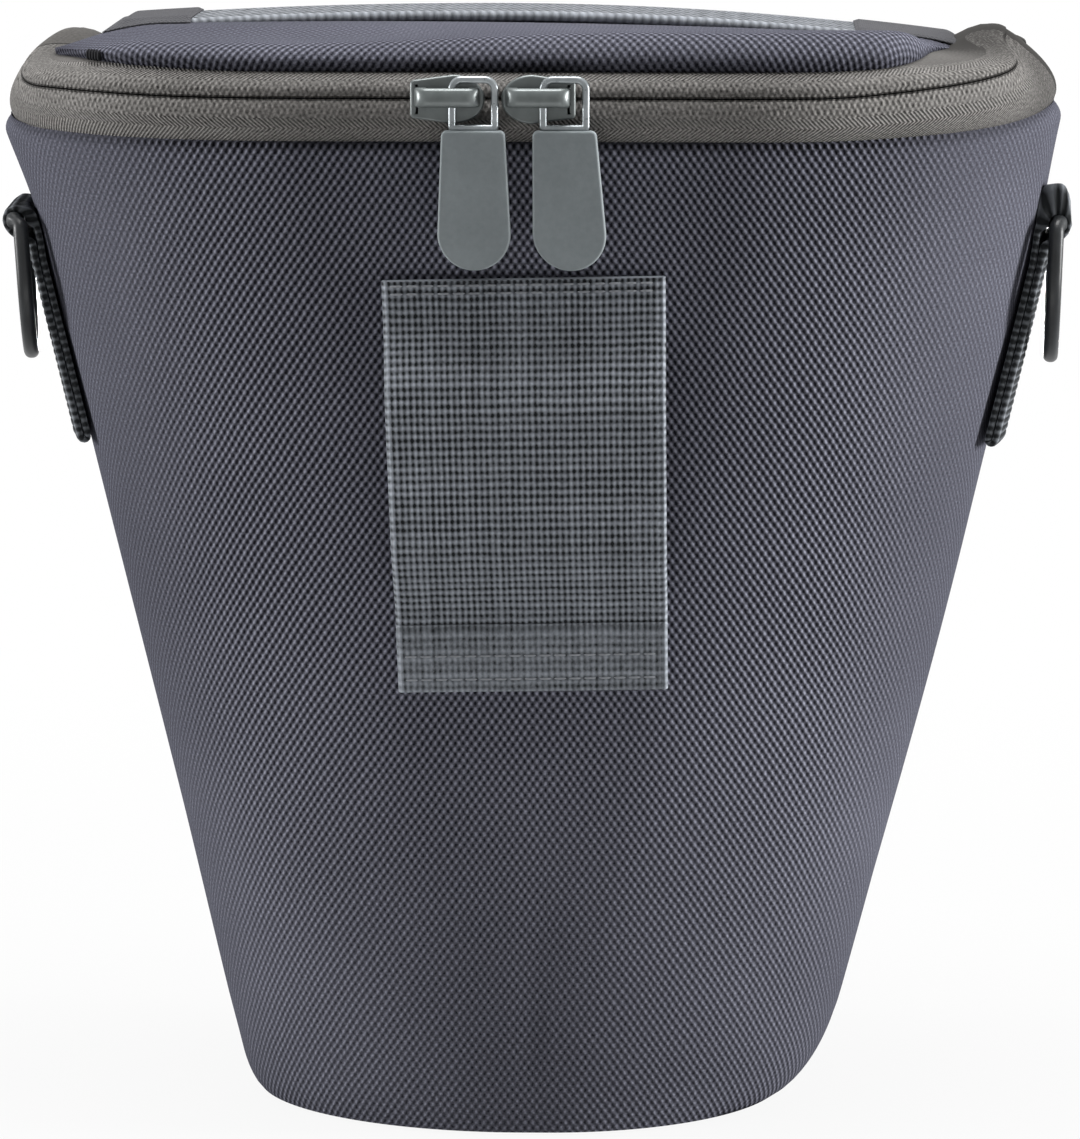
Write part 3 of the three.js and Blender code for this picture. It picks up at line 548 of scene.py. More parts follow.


# v is the distance from the teeth, above 0 on the upper half: cords with dots up to cordEdge, then ribs that slant
# one way and then the other. The cloth is plain beyond the tape's width and its two sewn seams, and painted shade
# makes it darker towards the ears
def tapeFinish(name, look):
    finish, tree, shader = newFinish(name, 0.75, specular=0.12)
    place, u, v = weaveUv(tree)
    first, last = look["seams"]
    off = calc("ABSOLUTE", v)
    bent = calc("ABSOLUTE", minus(off, look["turn"]))
    rib = wave(timesPlus(bent, look["slant"], u), look["rib"])
    dots = times(wave(u, look["cord"]), wave(off, look["dotRow"], 0.4))
    nearTeeth = calc("LESS_THAN", off, look["cordEdge"])
    tread = plus(times(dots, nearTeeth), times(rib, minus(1.0, nearTeeth)))
    fibre = speck(place, 1900.0)
    tone = timesPlus(tread, timesPlus(nearTeeth, look["dots"], look["tread"]), look["level"])
    tone = timesPlus(fibre, look["fibre"], tone)
    tone = timesPlus(calc("GREATER_THAN", v, 0.0), look["upper"], tone)
    teeth = timesPlus(wave(u, look["cord"]), 0.35, 0.65)
    tone = timesPlus(calc("LESS_THAN", off, look["line"]), times(teeth, look["teeth"]), tone)
    beyond = plus(calc("LESS_THAN", u, first), calc("GREATER_THAN", u, last))
    beyond = calc("MAXIMUM", beyond, calc("GREATER_THAN", v, look["width"]))
    plain = timesPlus(fibre, *look["plain"])
    tone = timesPlus(beyond, minus(plain, tone), tone)
    # painted shade: the tone falls towards each ear
    right = ease(u, *(last - back for back in look["earShadeRight"]))
    left = ease(u, *(first + back for back in look["earShadeLeft"]))
    tone = minus(tone, timesPlus(right, look["earShade"][1], times(left, look["earShade"][0])))
    for seam in look["seams"]:
        near = calc("ABSOLUTE", minus(u, seam))
        tone = timesPlus(calc("LESS_THAN", near, look["seamHalf"]), look["seam"], tone)
    tone = timesPlus(speck(place, 40.0, 3.0), look["cloud"], tone, clamp=True)
    feed(ramp(tone, [(0.05, look["dark"]), (0.95, look["light"])]), shader, "Base Color")
    bumpTo(shader, times(tread, minus(1.0, beyond)), look["relief"], 0.7)
    return finish


liningCloth = clothFinish("liningCloth", (0.10, 0.102, 0.11), (0.19, 0.192, 0.205), 0.0007)
bindingCloth = clothFinish("bindingCloth", (0.02, 0.02, 0.023), (0.055, 0.056, 0.062), 0.0009)
plainCloth = clothFinish("plainCloth", (0.045, 0.045, 0.05), (0.15, 0.15, 0.163), 0.0008)


# Lining: thin bowl that follows the wall and floor, full of a low padded swell. Pairs are insets and heights
liningForm = {"count": 280, "rows": 40, "low": 12, "high": 178.6, "outside": 8.8, "inside": 9.6, "swell": 1.1,
              "under": [(34, 9.3), (20, 9.3), (12, 9.3), (9.4, 9.6)], "outsideAt": (12, 60, 110, 150, 178.6),
              "over": [(10.3, 10.9), (12, 10.3), (16, 10.1), (24, 10.1), (34, 10.1)]}


def buildLining():
    form = liningForm
    low, high = form["low"], form["high"]
    profile = form["under"] + [(form["outside"], z) for z in form["outsideAt"]]
    profile += [(form["inside"] + form["swell"] * np.sin(np.pi * (z - low) / (high - low)), z)
                for z in np.linspace(high, low, form["rows"])]
    points = ringProfile(allRound(form["count"]), profile + form["over"])
    around = closeCols(points)
    shell = gridShell(points, False, True, stack(lengthAlong(around, 1), lengthAlong(around)), capRows=True)
    bowl = makePiece("liningBowl", [shell], liningCloth, "case_body", ("body_lining",), 60)


# Binding round the mouth: a flattened cord over the edge of the foam and the lining
bindingForm = {"count": 360, "sides": 16, "inset": 6.0, "height": 180.0, "halfWide": 3.9, "halfTall": 1.25,
               "flat": 0.8, "cloth": 2.2}


def buildBinding():
    form = bindingForm
    turn = np.linspace(0, 2 * np.pi, form["sides"] + 1)[:-1]
    squash = np.sign(np.sin(turn)) * np.abs(np.sin(turn)) ** form["flat"]
    profile = stack(form["inset"] + form["halfWide"] * np.cos(turn), form["height"] + form["halfTall"] * squash)
    points = ringProfile(allRound(form["count"]), profile)
    uv = stack(lengthAlong(closeCols(points), 1), turn[:, None] * form["cloth"])
    shell = gridShell(points, True, True, join(uv, uv[-1:]))
    makePiece("mouthBinding", [shell], bindingCloth, "case_body", ("rim_binding",), 60)


buildLining()
buildBinding()
print("lining and binding")


# Zip band. Along the rear it stands upright, and at the ears it leans in until the teeth lie on top
zipForm = {"ends": (4.135, 10.865), "hinge": (2.866, 4.134), "count": 1700, "lowRows": 19, "highRows": 16,
           "tooth": 1.25, "toothRise": 0.13, "toothFrom": (0.3, 0.9), "toothTo": (2.0, 2.9), "ridge": 0.12,
           "ridgeAt": 3.3, "ridgeWidth": 0.4, "proud": 0.2, "leanIn": (10.4, 11.0), "slit": 0.13, "cloth": 0.8,
           "hem": (3.2, -1.2), "bulge": (-2.3, -0.6), "bulgeAt": (72, 95), "upperBulge": (-0.9, 4.8),
           "upperRise": (3.0, -0.8), "underLid": (3.2, -0.5), "seams": (6.07, 8.93)}
edgeForm = {"inset": 2.3, "height": 197.3, "endLeft": 5.5, "endAt": (72, 97), "sideLeft": 8.5,
            "sideAt": (-36, -12), "sideFrom": (60, 80), "right": 16.0, "rightAt": (62, 91), "fade": (14, 56),
            "rise": 0.9, "riseAt": (50, 84), "riseFade": (-50, -20), "fall": 3.4, "fallAt": (8, 58)}


def earShare(q):  # 0 where the band stands upright, 1 on the ear; the left one starts to lean sooner
    x, y = outline(q, 0, rim)
    left = smooth(y, *earForm["leanLeft"]) * (1 - smooth(y, *earForm["leanFade"]))
    left = left * smooth(-x, *earForm["leanSide"])
    return np.maximum(smooth(mouthLift(q), *earForm["leanLift"]), left)


def zipPlace(q):  # inset and height of the line of the teeth
    x, _ = outline(q, 0, rim)
    lean = np.where(x > 0, zipForm["leanIn"][1], zipForm["leanIn"][0])
    return lean * earShare(q) - zipForm["proud"], zipLine + mouthLift(q)


# Edge of the lid on the band: level with the outline along the rear, drawn in at the two ends of the lid
def lidEdge(q):
    form = edgeForm
    x, y = outline(q, 0, rim)
    left = form["sideLeft"] * smooth(y, *form["sideAt"]) * smooth(-x, *form["sideFrom"])
    left = left + form["endLeft"] * smooth(-x, *form["endAt"])
    drawn = np.where(x > 0, form["right"] * smooth(x, *form["rightAt"]), left) * (1 - smooth(y, *form["fade"]))
    rise = form["rise"] * smooth(np.abs(x), *form["riseAt"]) * (1 - smooth(y, *form["riseFade"]))
    return form["inset"] + drawn, form["height"] + rise - form["fall"] * smooth(y, *form["fallAt"])


# Lower half: from a hem behind the rim out over it and up to the teeth. Upper half: from the teeth up and in under
# the lid. Each gives insets and heights [row, station] for shares of its width from 0 to 1
def lowerTape(q, share):
    zipInset, zipZ = zipPlace(q)
    low = rim + rimLift(q)
    x, _ = outline(q, 0, rim)
    hemInset, hemRise = zipForm["hem"]
    inset = bend(hemInset, mix(*zipForm["bulge"], smooth(-x, *zipForm["bulgeAt"])), zipInset, share)
    z = bend(low + hemRise, mix(low, zipZ, 0.3), zipZ - zipForm["slit"], share)
    return inset, z


def upperTape(q, share):
    zipInset, zipZ = zipPlace(q)
    edgeInset, edgeZ = lidEdge(q)
    ear = earShare(q)
    (out, earOut), (rise, earRise), (underInset, underRise) = (
        zipForm[name] for name in ("upperBulge", "upperRise", "underLid"))
    inset = bend(zipInset, zipInset + out + earOut * ear, edgeInset + underInset, share)
    z = bend(zipZ + zipForm["slit"], zipZ + rise + earRise * ear, edgeZ + underRise, share)
    return inset, z


# Band of cloth on a curve: its outer face with a row of tooth bumps along the slit, its inner face, and its hem
def tapeShell(curve, q, rows, lower, length):
    q = q[None, :]
    inset, z = curve(q, np.linspace(0, 1, rows)[:, None])
    across = lengthAlong(bandPoint(q, inset, z))
    off = across[-1:] - across if lower else across
    run = np.linspace(0, length, q.size)[None, :]
    bump = 0.5 + 0.5 * np.cos(2 * np.pi * (run / zipForm["tooth"] + (0.5 if lower else 0)))
    onRow = smooth(off, *zipForm["toothFrom"]) * (1 - smooth(off, *zipForm["toothTo"]))
    bump = zipForm["toothRise"] * bump * onRow
    ridge = zipForm["ridge"] * np.exp(-((off - zipForm["ridgeAt"]) / zipForm["ridgeWidth"]) ** 2)
    face = bandPoint(q, inset - bump - ridge, z)
    back = bandPoint(q, inset + zipForm["cloth"], z)[::-1][::3]
    uv = stack(run, (-1 if lower else 1) * join(off, off[::-1][::3]))
    return gridShell(join(face, back), True, False, closeRows(uv), capCols=True)


def buildTapes():
    q, length = evenStations(*zipForm["ends"], zipForm["count"])
    lower = tapeShell(lowerTape, q, zipForm["lowRows"], True, length)
    upper = tapeShell(upperTape, q, zipForm["highRows"], False, length)
    makePiece("lowerTape", [lower], tapeCloth, "case_body", ("lower_zip_tape",), 50)
    makePiece("upperTape", [upper], tapeCloth, "lid", ("upper_zip_tape",), 50)


# Coil: a flat helix behind each tape, one turn to a tooth, laid out along the cloth from the slit and behind it
coilForm = {"pitch": 1.25, "wire": 0.3, "out": 1.45, "tall": 0.85, "behind": 2.1, "deep": 0.75, "steps": 10,
            "sides": 5}


def buildCoil(name, side, body, node):
    form = coilForm
    first, last = zipForm["ends"]
    turns = int(evenStations(first, last, 2)[1] / form["pitch"])
    q, _ = evenStations(first + 0.01, last - 0.01, turns * form["steps"])
    angle = np.linspace(0, 2 * np.pi * turns, len(q)) + (0 if side > 0 else np.pi)
    curve, slit, step = (upperTape, 0.0, 0.2) if side > 0 else (lowerTape, 1.0, -0.2)
    start = stack(*curve(q, slit))
    slope = unit(stack(*curve(q, slit + step)) - start)
    behind = stack(slope[:, 1], -slope[:, 0]) * side
    out = form["out"] + form["tall"] * np.sin(angle)
    deep = form["behind"] + form["deep"] * np.cos(angle)
    place = start + slope * out[:, None] + behind * deep[:, None]
    path = bandPoint(q, place[:, 0], place[:, 1])
    along = unit(np.gradient(path, axis=0))
    across = unit(np.cross(along, np.array([0.0, 0.0, 1.0]) + 0.3 * unit(path)))
    section = arc((0, 0), form["wire"], 0, 360, form["sides"] + 1)[:-1]
    shell = sweepShell(path, across, np.cross(across, along), section)
    makePiece(name, [shell], coilNylon, body, (node,), 80)


coilNylon, coilTree, coilShader = newFinish("coilNylon", 0.42)
coilStops = [(0.3, (0.014, 0.014, 0.013)), (0.7, (0.035, 0.034, 0.032))]
feed(ramp(noise(objectPlace(coilTree), 300.0), coilStops), coilShader, "Base Color")
zipStations, zipLength = evenStations(*zipForm["ends"], zipForm["count"])
zipSeams = np.interp(zipForm["seams"], zipStations, np.linspace(0, zipLength, zipForm["count"]) * mm)
tapeCloth = tapeFinish("tapeCloth", {**tapeLook, "seams": zipSeams.tolist()})
buildTapes()
buildCoil("lowerCoil", -1, "case_body", "lower_zip_coil")
buildCoil("upperCoil", 1, "lid", "upper_zip_coil")
print("zip")


# Hinge cloth: the same band without teeth, in one piece across the fold at the front
hingeForm = {"count": 160, "rows": 15, "fold": 64.2}


def buildHinge():
    q, length = evenStations(*zipForm["hinge"], hingeForm["count"])
    q = q[None, :]
    share = np.linspace(0, 1, hingeForm["rows"])[:, None]
    inset, z = (join(*halves) for halves in zip(lowerTape(q, share), upperTape(q, share)))
    face = bandPoint(q, inset, z)
    back = bandPoint(q, inset + zipForm["cloth"], z)[::-1]
    across = lengthAlong(face)
    uv = stack(np.linspace(0, length, q.size)[None, :], join(across, across[::-1]))
    shell = gridShell(join(face, back), True, False, closeRows(uv), capCols=True)
    hinge = makePiece("hingeCloth", [shell], plainCloth, None,
                      ("lower_hinge_strip", "upper_hinge_strip"), 60)
    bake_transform(hinge)


buildHinge()


# Lid: a padded cap with a rolled edge. Its top is a low crown that sags more to the right, with a crest along the
# rear that stands higher on the right, and falls to the hinge and to both ends
lidForm = {"roll": 6.5, "rollAt": [0, 8, 16, 25, 34, 43, 52, 61, 70, 80, 90], "lip": 2.0, "lipAt": [75, 50, 25],
           "floor": 2.0, "centre": 60, "crest": (200.4, 202.3), "crown": 201.75, "peak": -8.0,
           "sag": (0.00008, 0.00045), "crestAt": (-45, 20), "crownAt": (-50, -24), "fall": 5.4, "fallAt": (16, 62),
           "ends": 4.0, "endsAt": (68, 94), "swell": 0.2, "rows": 34, "count": 420}


def flatArch(x, form):  # height of a crown that sags by the square of the way from its peak, left and right
    off = x - form["peak"]
    return form["crown"] - np.where(off > 0, form["sag"][1], form["sag"][0]) * off ** 2


def lidTop(x, y):
    form = lidForm
    fall = form["fall"] * smooth(y, *form["fallAt"]) + form["ends"] * smooth(np.abs(x), *form["endsAt"])
    swell = form["swell"] * np.sin(x / 17 + 0.6) * np.sin(y / 15 + 0.4)
    crest = mix(*form["crest"], smooth(x, *form["crestAt"]))
    return mix(crest, flatArch(x, form), smooth(y, *form["crownAt"])) - fall + swell


# Rows from the middle of the underside out to the lip, over the roll and in to the middle of the top. Its weave is
# laid out flat from the middle: the plan, and down the edge the rest of the length over the surface
def buildLid():
    form = lidForm
    q = allRound(form["count"])[None, :]
    edgeInset, edgeZ = lidEdge(q)
    roll, lip = (np.radians(form[name])[:, None] for name in ("rollAt", "lipAt"))
    depth = np.linspace(0, 1, form["rows"])[1:, None]
    rows = [0 * edgeInset + form["centre"], edgeInset + 3, edgeInset + form["lip"] * (1 - np.cos(lip)),
            edgeInset + form["roll"] * (1 - np.cos(roll)), mix(edgeInset + form["roll"], form["centre"], depth)]
    x, y = outline(q, join(*rows), rim)
    start = 2 + len(lip)
    under = np.full((2, q.size), zipLine + form["floor"])
    over = mix(edgeZ, lidTop(x[start:], y[start:]), join(np.sin(roll), np.ones_like(depth)))
    points = stack(x, y, join(under, edgeZ - form["lip"] * np.sin(lip), over))
    nx, ny = planNormal(q, 0, rim)
    arcLength = lengthAlong(points[::-1])[::-1]
    extra = np.maximum(arcLength - np.hypot(x - x[-1:], y - y[-1:]), 0)
    extra[:2] = extra[2]
    flat = closeCols(stack(x + nx * extra, y + ny * extra))
    shell = gridShell(points, False, True, flat, capRows=True)
    lid = makePiece("lidPad", [shell], lidWeave, "lid", ("lid_shell", "lid_foam"), 60)


# Lining under the lid: a thin pad with a crowned lower face, narrower towards the ends of the lid
lidLiningForm = {"count": 240, "inset": 5.0, "ends": 16.0, "endsAt": (48, 90), "endsFade": (24, 64), "top": 193.0,
                 "edge": 192.6, "low": 191.9, "crown": 1.3, "reach": 0.995, "rows": 14}


def buildLidLining():
    form = lidLiningForm
    q = allRound(form["count"])[None, :]
    x, y = outline(q, 0, rim)
    ends = smooth(np.abs(x), *form["endsAt"]) * (1 - smooth(y, *form["endsFade"]))
    start = form["inset"] + form["ends"] * ends
    top, low, centre = form["top"], form["low"], lidForm["centre"]
    rows = [(mix(start, centre, form["reach"]), top), (start + 1, top), (start, form["edge"]), (start + 0.4, low)]
    rows += [(mix(start, centre, share), low - form["crown"] * np.sin(np.pi * min(share, 0.5)))
             for share in np.linspace(0.04, form["reach"], form["rows"])]
    inset, z = zip(*rows)
    points = bandPoint(q, join(*inset), np.array(z)[:, None])
    shell = gridShell(points, False, True, closeCols(points[..., :2]), capRows=True)
    pad = makePiece("lidLining", [shell], liningCloth, "lid", ("lid_lining",), 60)


# Tack: short black stitches side by side on the rolled edge, near the lid's left end
tackForm = {"stations": (6.45, 6.95, 400), "x": (-78.4, -76.2), "count": 5, "span": (-1.5, 0.5), "radius": 0.36,
            "proud": 0.3}


def lidFace(q):  # point of the rolled edge where it is widest
    edgeInset, edgeZ = lidEdge(q)
    return stack(*outline(q, edgeInset, rim), edgeZ)


def buildTack():
    form = tackForm
    q = np.linspace(*form["stations"])
    at = np.interp(np.linspace(*form["x"], form["count"]), lidFace(q)[:, 0], q)
    run = lidFace(at + 0.01) - lidFace(at - 0.01)
    normal = unit(stack(run[:, 1], -run[:, 0], 0))
    face = lidFace(at) + normal * form["proud"]
    start, end = (face + [0.0, 0.0, height] for height in form["span"])
    makePiece("lidTack", stitchShells(start, end, normal, form["radius"]), tackThread, "lid")


buildLid()
buildLidLining()
print("lid")


# Webbing: light yarn knots in straight rows and columns, dark between them, and a pale selvedge along both edges.
# u runs along the strip from one end, v across from its middle; below hem the knots are pressed flat
webLook = {
    "dark": (0.006, 0.007, 0.008), "light": (0.275, 0.298, 0.332), "pitch": (0.00148, 0.00111),
    "wander": (0.0004, 0.0002), "level": 0.40, "lift": 0.40, "grain": 0.5, "slant": 0.0, "streak": 0.34,
    "half": 0.025, "selvedge": 0.0011, "selvedgeTone": 0.13, "hem": 0.0, "pressed": -0.4, "relief": 0.00022,
}


def webFinish(name, look):
    finish, tree, shader = newFinish(name, 0.7, specular=0.12)
    place, u, v = weaveUv(tree)
    along = timesPlus(v, look["slant"], u)
    rows = wave(timesPlus(noise(place, 120.0, 1.0), look["wander"][0], along), look["pitch"][0])
    columns = wave(timesPlus(noise(place, 150.0, 1.0), look["wander"][1], v), look["pitch"][1])
    knots = plus(times(rows, 0.5), times(columns, 0.5))
    knots = times(knots, timesPlus(calc("LESS_THAN", u, look["hem"]), look["pressed"], 1.0))
    edge = calc("GREATER_THAN", calc("ABSOLUTE", v), look["half"] - look["selvedge"])
    tone = timesPlus(knots, look["lift"], look["level"])
    tone = timesPlus(speck(place, 1500.0), look["grain"], tone)
    for shares, scale in (((1.0, 0.03), 520.0), ((0.03, 1.0), 700.0)):
        tone = timesPlus(speck(stretched(u, v, *shares), scale, 1.0), look["streak"], tone)
    tone = timesPlus(edge, look["selvedgeTone"], tone, clamp=True)
    feed(ramp(tone, [(0.08, look["dark"]), (0.95, look["light"])]), shader, "Base Color")
    bumpTo(shader, knots, look["relief"], 0.8)
    return finish


# Strip of webbing along a path: ribbed outer face, plain inner face, rounded edges. Knots stand up as low bumps
def stripShell(path, across, outward, width, thick, pitch=(1.48, 1.11), knot=0.1, flatBelow=0.0, closed=False):
    half, r = width / 2, thick / 2
    face = np.linspace(-half + r, half - r, max(int(width / pitch[1] * 4), 8))
    under = face[::-4]
    section = join(stack(face, r), arc((half - r, 0), r, 90, -90, 7)[1:-1], stack(under, -r),
                   arc((r - half, 0), r, 270, 90, 7)[1:-1])
    side, height = section.T
    length = lengthAlong(path)
    rows = np.cos(2 * np.pi * length / pitch[0])[:, None]
    columns = np.cos(2 * np.pi * side / pitch[1])
    bump = knot * (0.6 * rows + 0.4 * columns) * smooth(length, flatBelow, flatBelow + 1)[:, None]
    bump = bump * (height > r * 0.99) * (1 - smooth(np.abs(side), half - r - 1.2, half - r))
    points = path[:, None] + across[:, None] * side[:, None] + outward[:, None] * (height + bump)[..., None]
    ends = np.append(length, length[-1] + 1) if closed else length
    uv = stack(ends[:, None], np.append(side, side[0]))
    return gridShell(points, wrapRows=closed, wrapCols=True, uv=uv, capRows=not closed)


# Stitches: one small spindle each from start to end, bowed up along the normal by its radius
def stitchShells(start, end, normal, radius):
    share = np.linspace(0, 1, 7)[None, :, None]
    swell = np.sqrt(1 - 0.92 * (2 * share - 1) ** 4)
    normal = np.broadcast_to(np.array(normal, float), start.shape)
    side = np.cross(unit(end - start), normal)
    path = mix(start[:, None], end[:, None], share) + normal[:, None] * radius * (swell - 0.6)
    turn = np.linspace(0, 2 * np.pi, 7)[:-1][None, None, :, None]
    ring = side[:, None, None] * np.cos(turn) + normal[:, None, None] * np.sin(turn)
    points = path[:, :, None] + ring * (radius * swell)[..., None]
    return [gridShell(one, wrapCols=True, capRows=True) for one in points]


# Belt loop: sewn flat at both ends and standing off between them, hung about a degree out of true and a little
# narrower at its foot, where the end is folded under
loopForm = {"low": 85.0, "high": 159.6, "width": 50.0, "thick": 1.5, "gap": 4.6, "sewnLow": 13.0, "sewnHigh": 8.0,
            "rise": 15.0, "roll": 0.0195, "narrow": 0.036, "hem": 11.6, "fold": 0.7, "clear": 0.25, "bow": 0.7,
            "count": 210, "knot": 0.14, "stitch": 2.2, "stitchGap": 0.55, "stitchRun": (-23.5, 21.5),
            "seamsLow": (2.3, 6.6), "seamsHigh": (0.9, 2.3)}


def rearWallY(x, z):  # face of the padded wall behind the belt loop
    straight = tapered("half", 0, z) - tapered("rear", 0, z)
    return -tapered("half", 1, z) - wallSwell(7.5 + 0.5 * x / straight, z)


# Places of the level strip turned and narrowed to the hung one, lying on the curve of the wall
def hangLoop(p):
    form = loopForm
    middle = (form["low"] + form["high"]) / 2
    share = (form["high"] - p[:, 2]) / (form["high"] - form["low"])
    x = p[:, 0] * (1 - form["narrow"] * share)
    wall = rearWallY(p[:, 0], p[:, 2]) - rearWallY(0, p[:, 2])
    return stack(x + form["roll"] * (middle - p[:, 2]), p[:, 1] + wall, p[:, 2] + form["roll"] * x)


def buildBeltLoop():
    form = loopForm
    low, high, rise = form["low"], form["high"], form["rise"]
    z = np.linspace(low, high, form["count"])
    off = smooth(z, low + form["sewnLow"], low + form["sewnLow"] + rise)
    off = off - smooth(z, high - form["sewnHigh"] - rise, high - form["sewnHigh"])
    hem = form["fold"] * (1 - smooth(z, low + form["hem"] - 0.6, low + form["hem"] + 0.6))
    stand = form["clear"] + form["gap"] * off + hem + form["thick"] / 2
    path = stack(0.0, -tapered("half", 1, z) - form["bow"] * np.sin(np.pi * z / rim) - stand, z)
    across = np.tile([1.0, 0.0, 0.0], (len(z), 1))
    outward = np.cross(across, unit(np.gradient(path, axis=0)))
    outward = outward * np.sign(-outward[:, 1:2])
    shell = stripShell(path, across, outward, form["width"], form["thick"], knot=form["knot"],
                       flatBelow=form["hem"])
    shell["points"] = hangLoop(shell["points"])
    makePiece("beltLoop", [shell], loopWeb, "case_body", ("belt_loop",), 70)
    seams = [low + up for up in form["seamsLow"]] + [high - down for down in form["seamsHigh"]]
    face = path + outward * (form["thick"] / 2 + 0.04)
    face = stack(*(np.interp(seams, z, face[:, k]) for k in range(3)))
    x = np.arange(*form["stitchRun"], form["stitch"] + form["stitchGap"])
    start, end = (hangLoop((face[:, None] + stack(x + shift, 0, 0)).reshape(-1, 3))
                  for shift in (0, form["stitch"]))
    stitches = stitchShells(start, end, [0.0, -1.0, 0.0], 0.2)
    makePiece("loopStitches", stitches, seamThread, "case_body")


loopWeb = webFinish("loopWeb", {**webLook, "hem": 0.0116})
seamThread = clothFinish("seamThread", (0.13, 0.14, 0.15), (0.24, 0.25, 0.27), 0.0006)
tackThread = clothFinish("tackThread", (0.004, 0.004, 0.005), (0.012, 0.012, 0.014), 0.0006)
buildBeltLoop()
buildTack()
print("belt loop")


# Side tab: webbing folded over the ring's bar, both layers sewn to the wall below it, closed by a fold at its
# foot. Values for -1 are the left tab's and for 1 the right one's
tabForm = {"bar": (95.131, -13.0, 166.0), "low": 125.6, "width": 25.0, "thick": 1.25, "round": 2.05, "close": 4.0,
           "pinch": (0.9, 0.62), "clear": 0.1, "layer": 0.25, "knot": 0.16, "count": 260, "hug": 0.65,
           "free": (-8, -1),
           "yaw": {-1: 0.045, 1: 0.04}, "rise": {-1: 0.0, 1: 4.8}}


def sideWallX(side, z):  # half width of the padded wall at the tab
    q = 1.5 if side > 0 else 5.5
    return side * wallPoint(q, 0, z)[..., 0]


def sideDrop(y, z):  # how far the wall's rear corner has turned away at y from the flat of the side
    reachX, reachY = (tapered("rear", k, z) for k in (0, 1))
    return reachX * (1 - np.sqrt(1 - np.clip((reachY - tapered("half", 1, z) - y) / reachY, 0, 1) ** 2))


# Its loop in the XZ plane goes up the wall, over the bar, down again outside the first layer and round the foot.
# The fold is thicker than the strip, rises at the rear and turns with the ring. Below it the strip hugs the wall
def buildTab(name, side, node):
    form = tabForm
    barX, barY, barZ = form["bar"]
    half, fold = form["thick"] / 2, form["round"]
    up = np.linspace(form["low"] + half, barZ - form["close"], 30)
    wall = sideWallX(side, up)
    inner = stack(wall + half + form["clear"], up)
    outer = stack(wall + 3 * half + form["layer"], up)[::-1]
    over = arc((barX, barZ), fold, 172.8, 0, 24)
    top = np.array([barX + fold, barZ])
    pinch = np.array([barX + fold * form["pinch"][0], barZ - form["close"] * form["pinch"][1]])
    falling = bend(top, pinch, outer[0], np.linspace(0.12, 0.9, 8)[:, None])
    reach = np.linalg.norm(outer[-1] - inner[0]) / 2
    under = arc((inner[0] + outer[-1]) / 2, reach, 0, -180, 7)[1:-1]
    flat = evenPath(join(inner, over, falling, outer, under, inner[:1]), form["count"] + 1)[:-1]
    for _ in range(3):
        flat = (np.roll(flat, 1, 0) + 2 * flat + np.roll(flat, -1, 0)) / 4
    path = stack(side * flat[:, 0], barY, flat[:, 1])
    along = unit(np.roll(path, -1, 0) - np.roll(path, 1, 0))
    across = np.tile([0.0, 1.0, 0.0], (len(path), 1))
    outward = np.cross(across, along) * -side
    shell = stripShell(path, across, outward, form["width"], form["thick"], knot=form["knot"], closed=True)
    p = shell["points"]
    fat = smooth(np.hypot(side * p[:, 0] - barX, p[:, 2] - barZ), fold - half + 0.1, fold + half)
    rise = form["rise"][side] * smooth(p[:, 2], barZ, barZ + 2.4) * (0.5 + (barY - p[:, 1]) / form["width"])
    p[:, 2] += rise * fat
    free = smooth(p[:, 2] - barZ, *form["free"])
    hug = form["hug"] * np.maximum(1 - free, fat * smooth(barX - side * p[:, 0], 0.3, 1.6))
    p[:, 0] += side * (form["yaw"][side] * (p[:, 1] - barY) * free - sideDrop(p[:, 1], p[:, 2]) * hug)
    makePiece(name, [shell], tabWeb, "case_body", (node,), 70)


tabWeb = webFinish("tabWeb", {**webLook, "light": (0.21, 0.225, 0.245), "half": 0.0125, "selvedge": 0.0,
                              "level": 0.27, "lift": 0.44})
buildTab("ringTabLeft", -1, "ring_tab_left")
buildTab("ringTabRight", 1, "ring_tab_right")


def roundedPath(corners, radii, steps=8):  # closed path of straight runs and arcs through corners [n, 2]
    corners = np.array(corners, float)
    radii = np.array(radii, float)[:, None]
    back = unit(np.roll(corners, 1, 0) - corners)
    ahead = unit(np.roll(corners, -1, 0) - corners)
    half = np.arccos(np.clip((back * ahead).sum(1, keepdims=True), -1, 1)) / 2
    tangent = radii / np.tan(half)
    middle = corners + unit(back + ahead) * radii / np.sin(half)
    a, b = (unit(corners + way * tangent - middle) for way in (back, ahead))
    spread = np.maximum(np.arccos(np.clip((a * b).sum(1, keepdims=True), -1, 1)), 1e-6)[:, None, :]
    share = np.linspace(0, 1, steps + 1)[None, :, None]
    ray = (np.sin((1 - share) * spread) * a[:, None] + np.sin(share * spread) * b[:, None]) / np.sin(spread)
    return (middle[:, None] + ray * radii[:, None]).reshape(-1, 2)


# Ring sweep in its own plane: across lies in the plane, outward is the plane's normal
def flatRing(path, normal, section):
    along = unit(np.roll(path, -1, 0) - np.roll(path, 1, 0))
    outward = np.tile(normal, (len(path), 1))
    return sweepShell(path, np.cross(along, outward), outward, section, closed=True)


# D-ring: a round-edged bar and legs closed by a half ellipse, hung on the tab's fold. Its bar lies
# straight in the fold, and the rest is a little turned and leans in
ringForm = {"half": 14.7, "leg": 9.0, "drop": 25.2, "thick": 2.7, "wide": 3.0, "edge": 1.2, "corner": 1.9,
            "turnAside": (12.6, 14.4), "turnBelow": (3.0, 8.0), "tilt": {-1: 0.06, 1: 0.03},
            "yaw": {-1: 0.1, 1: 0.045}}


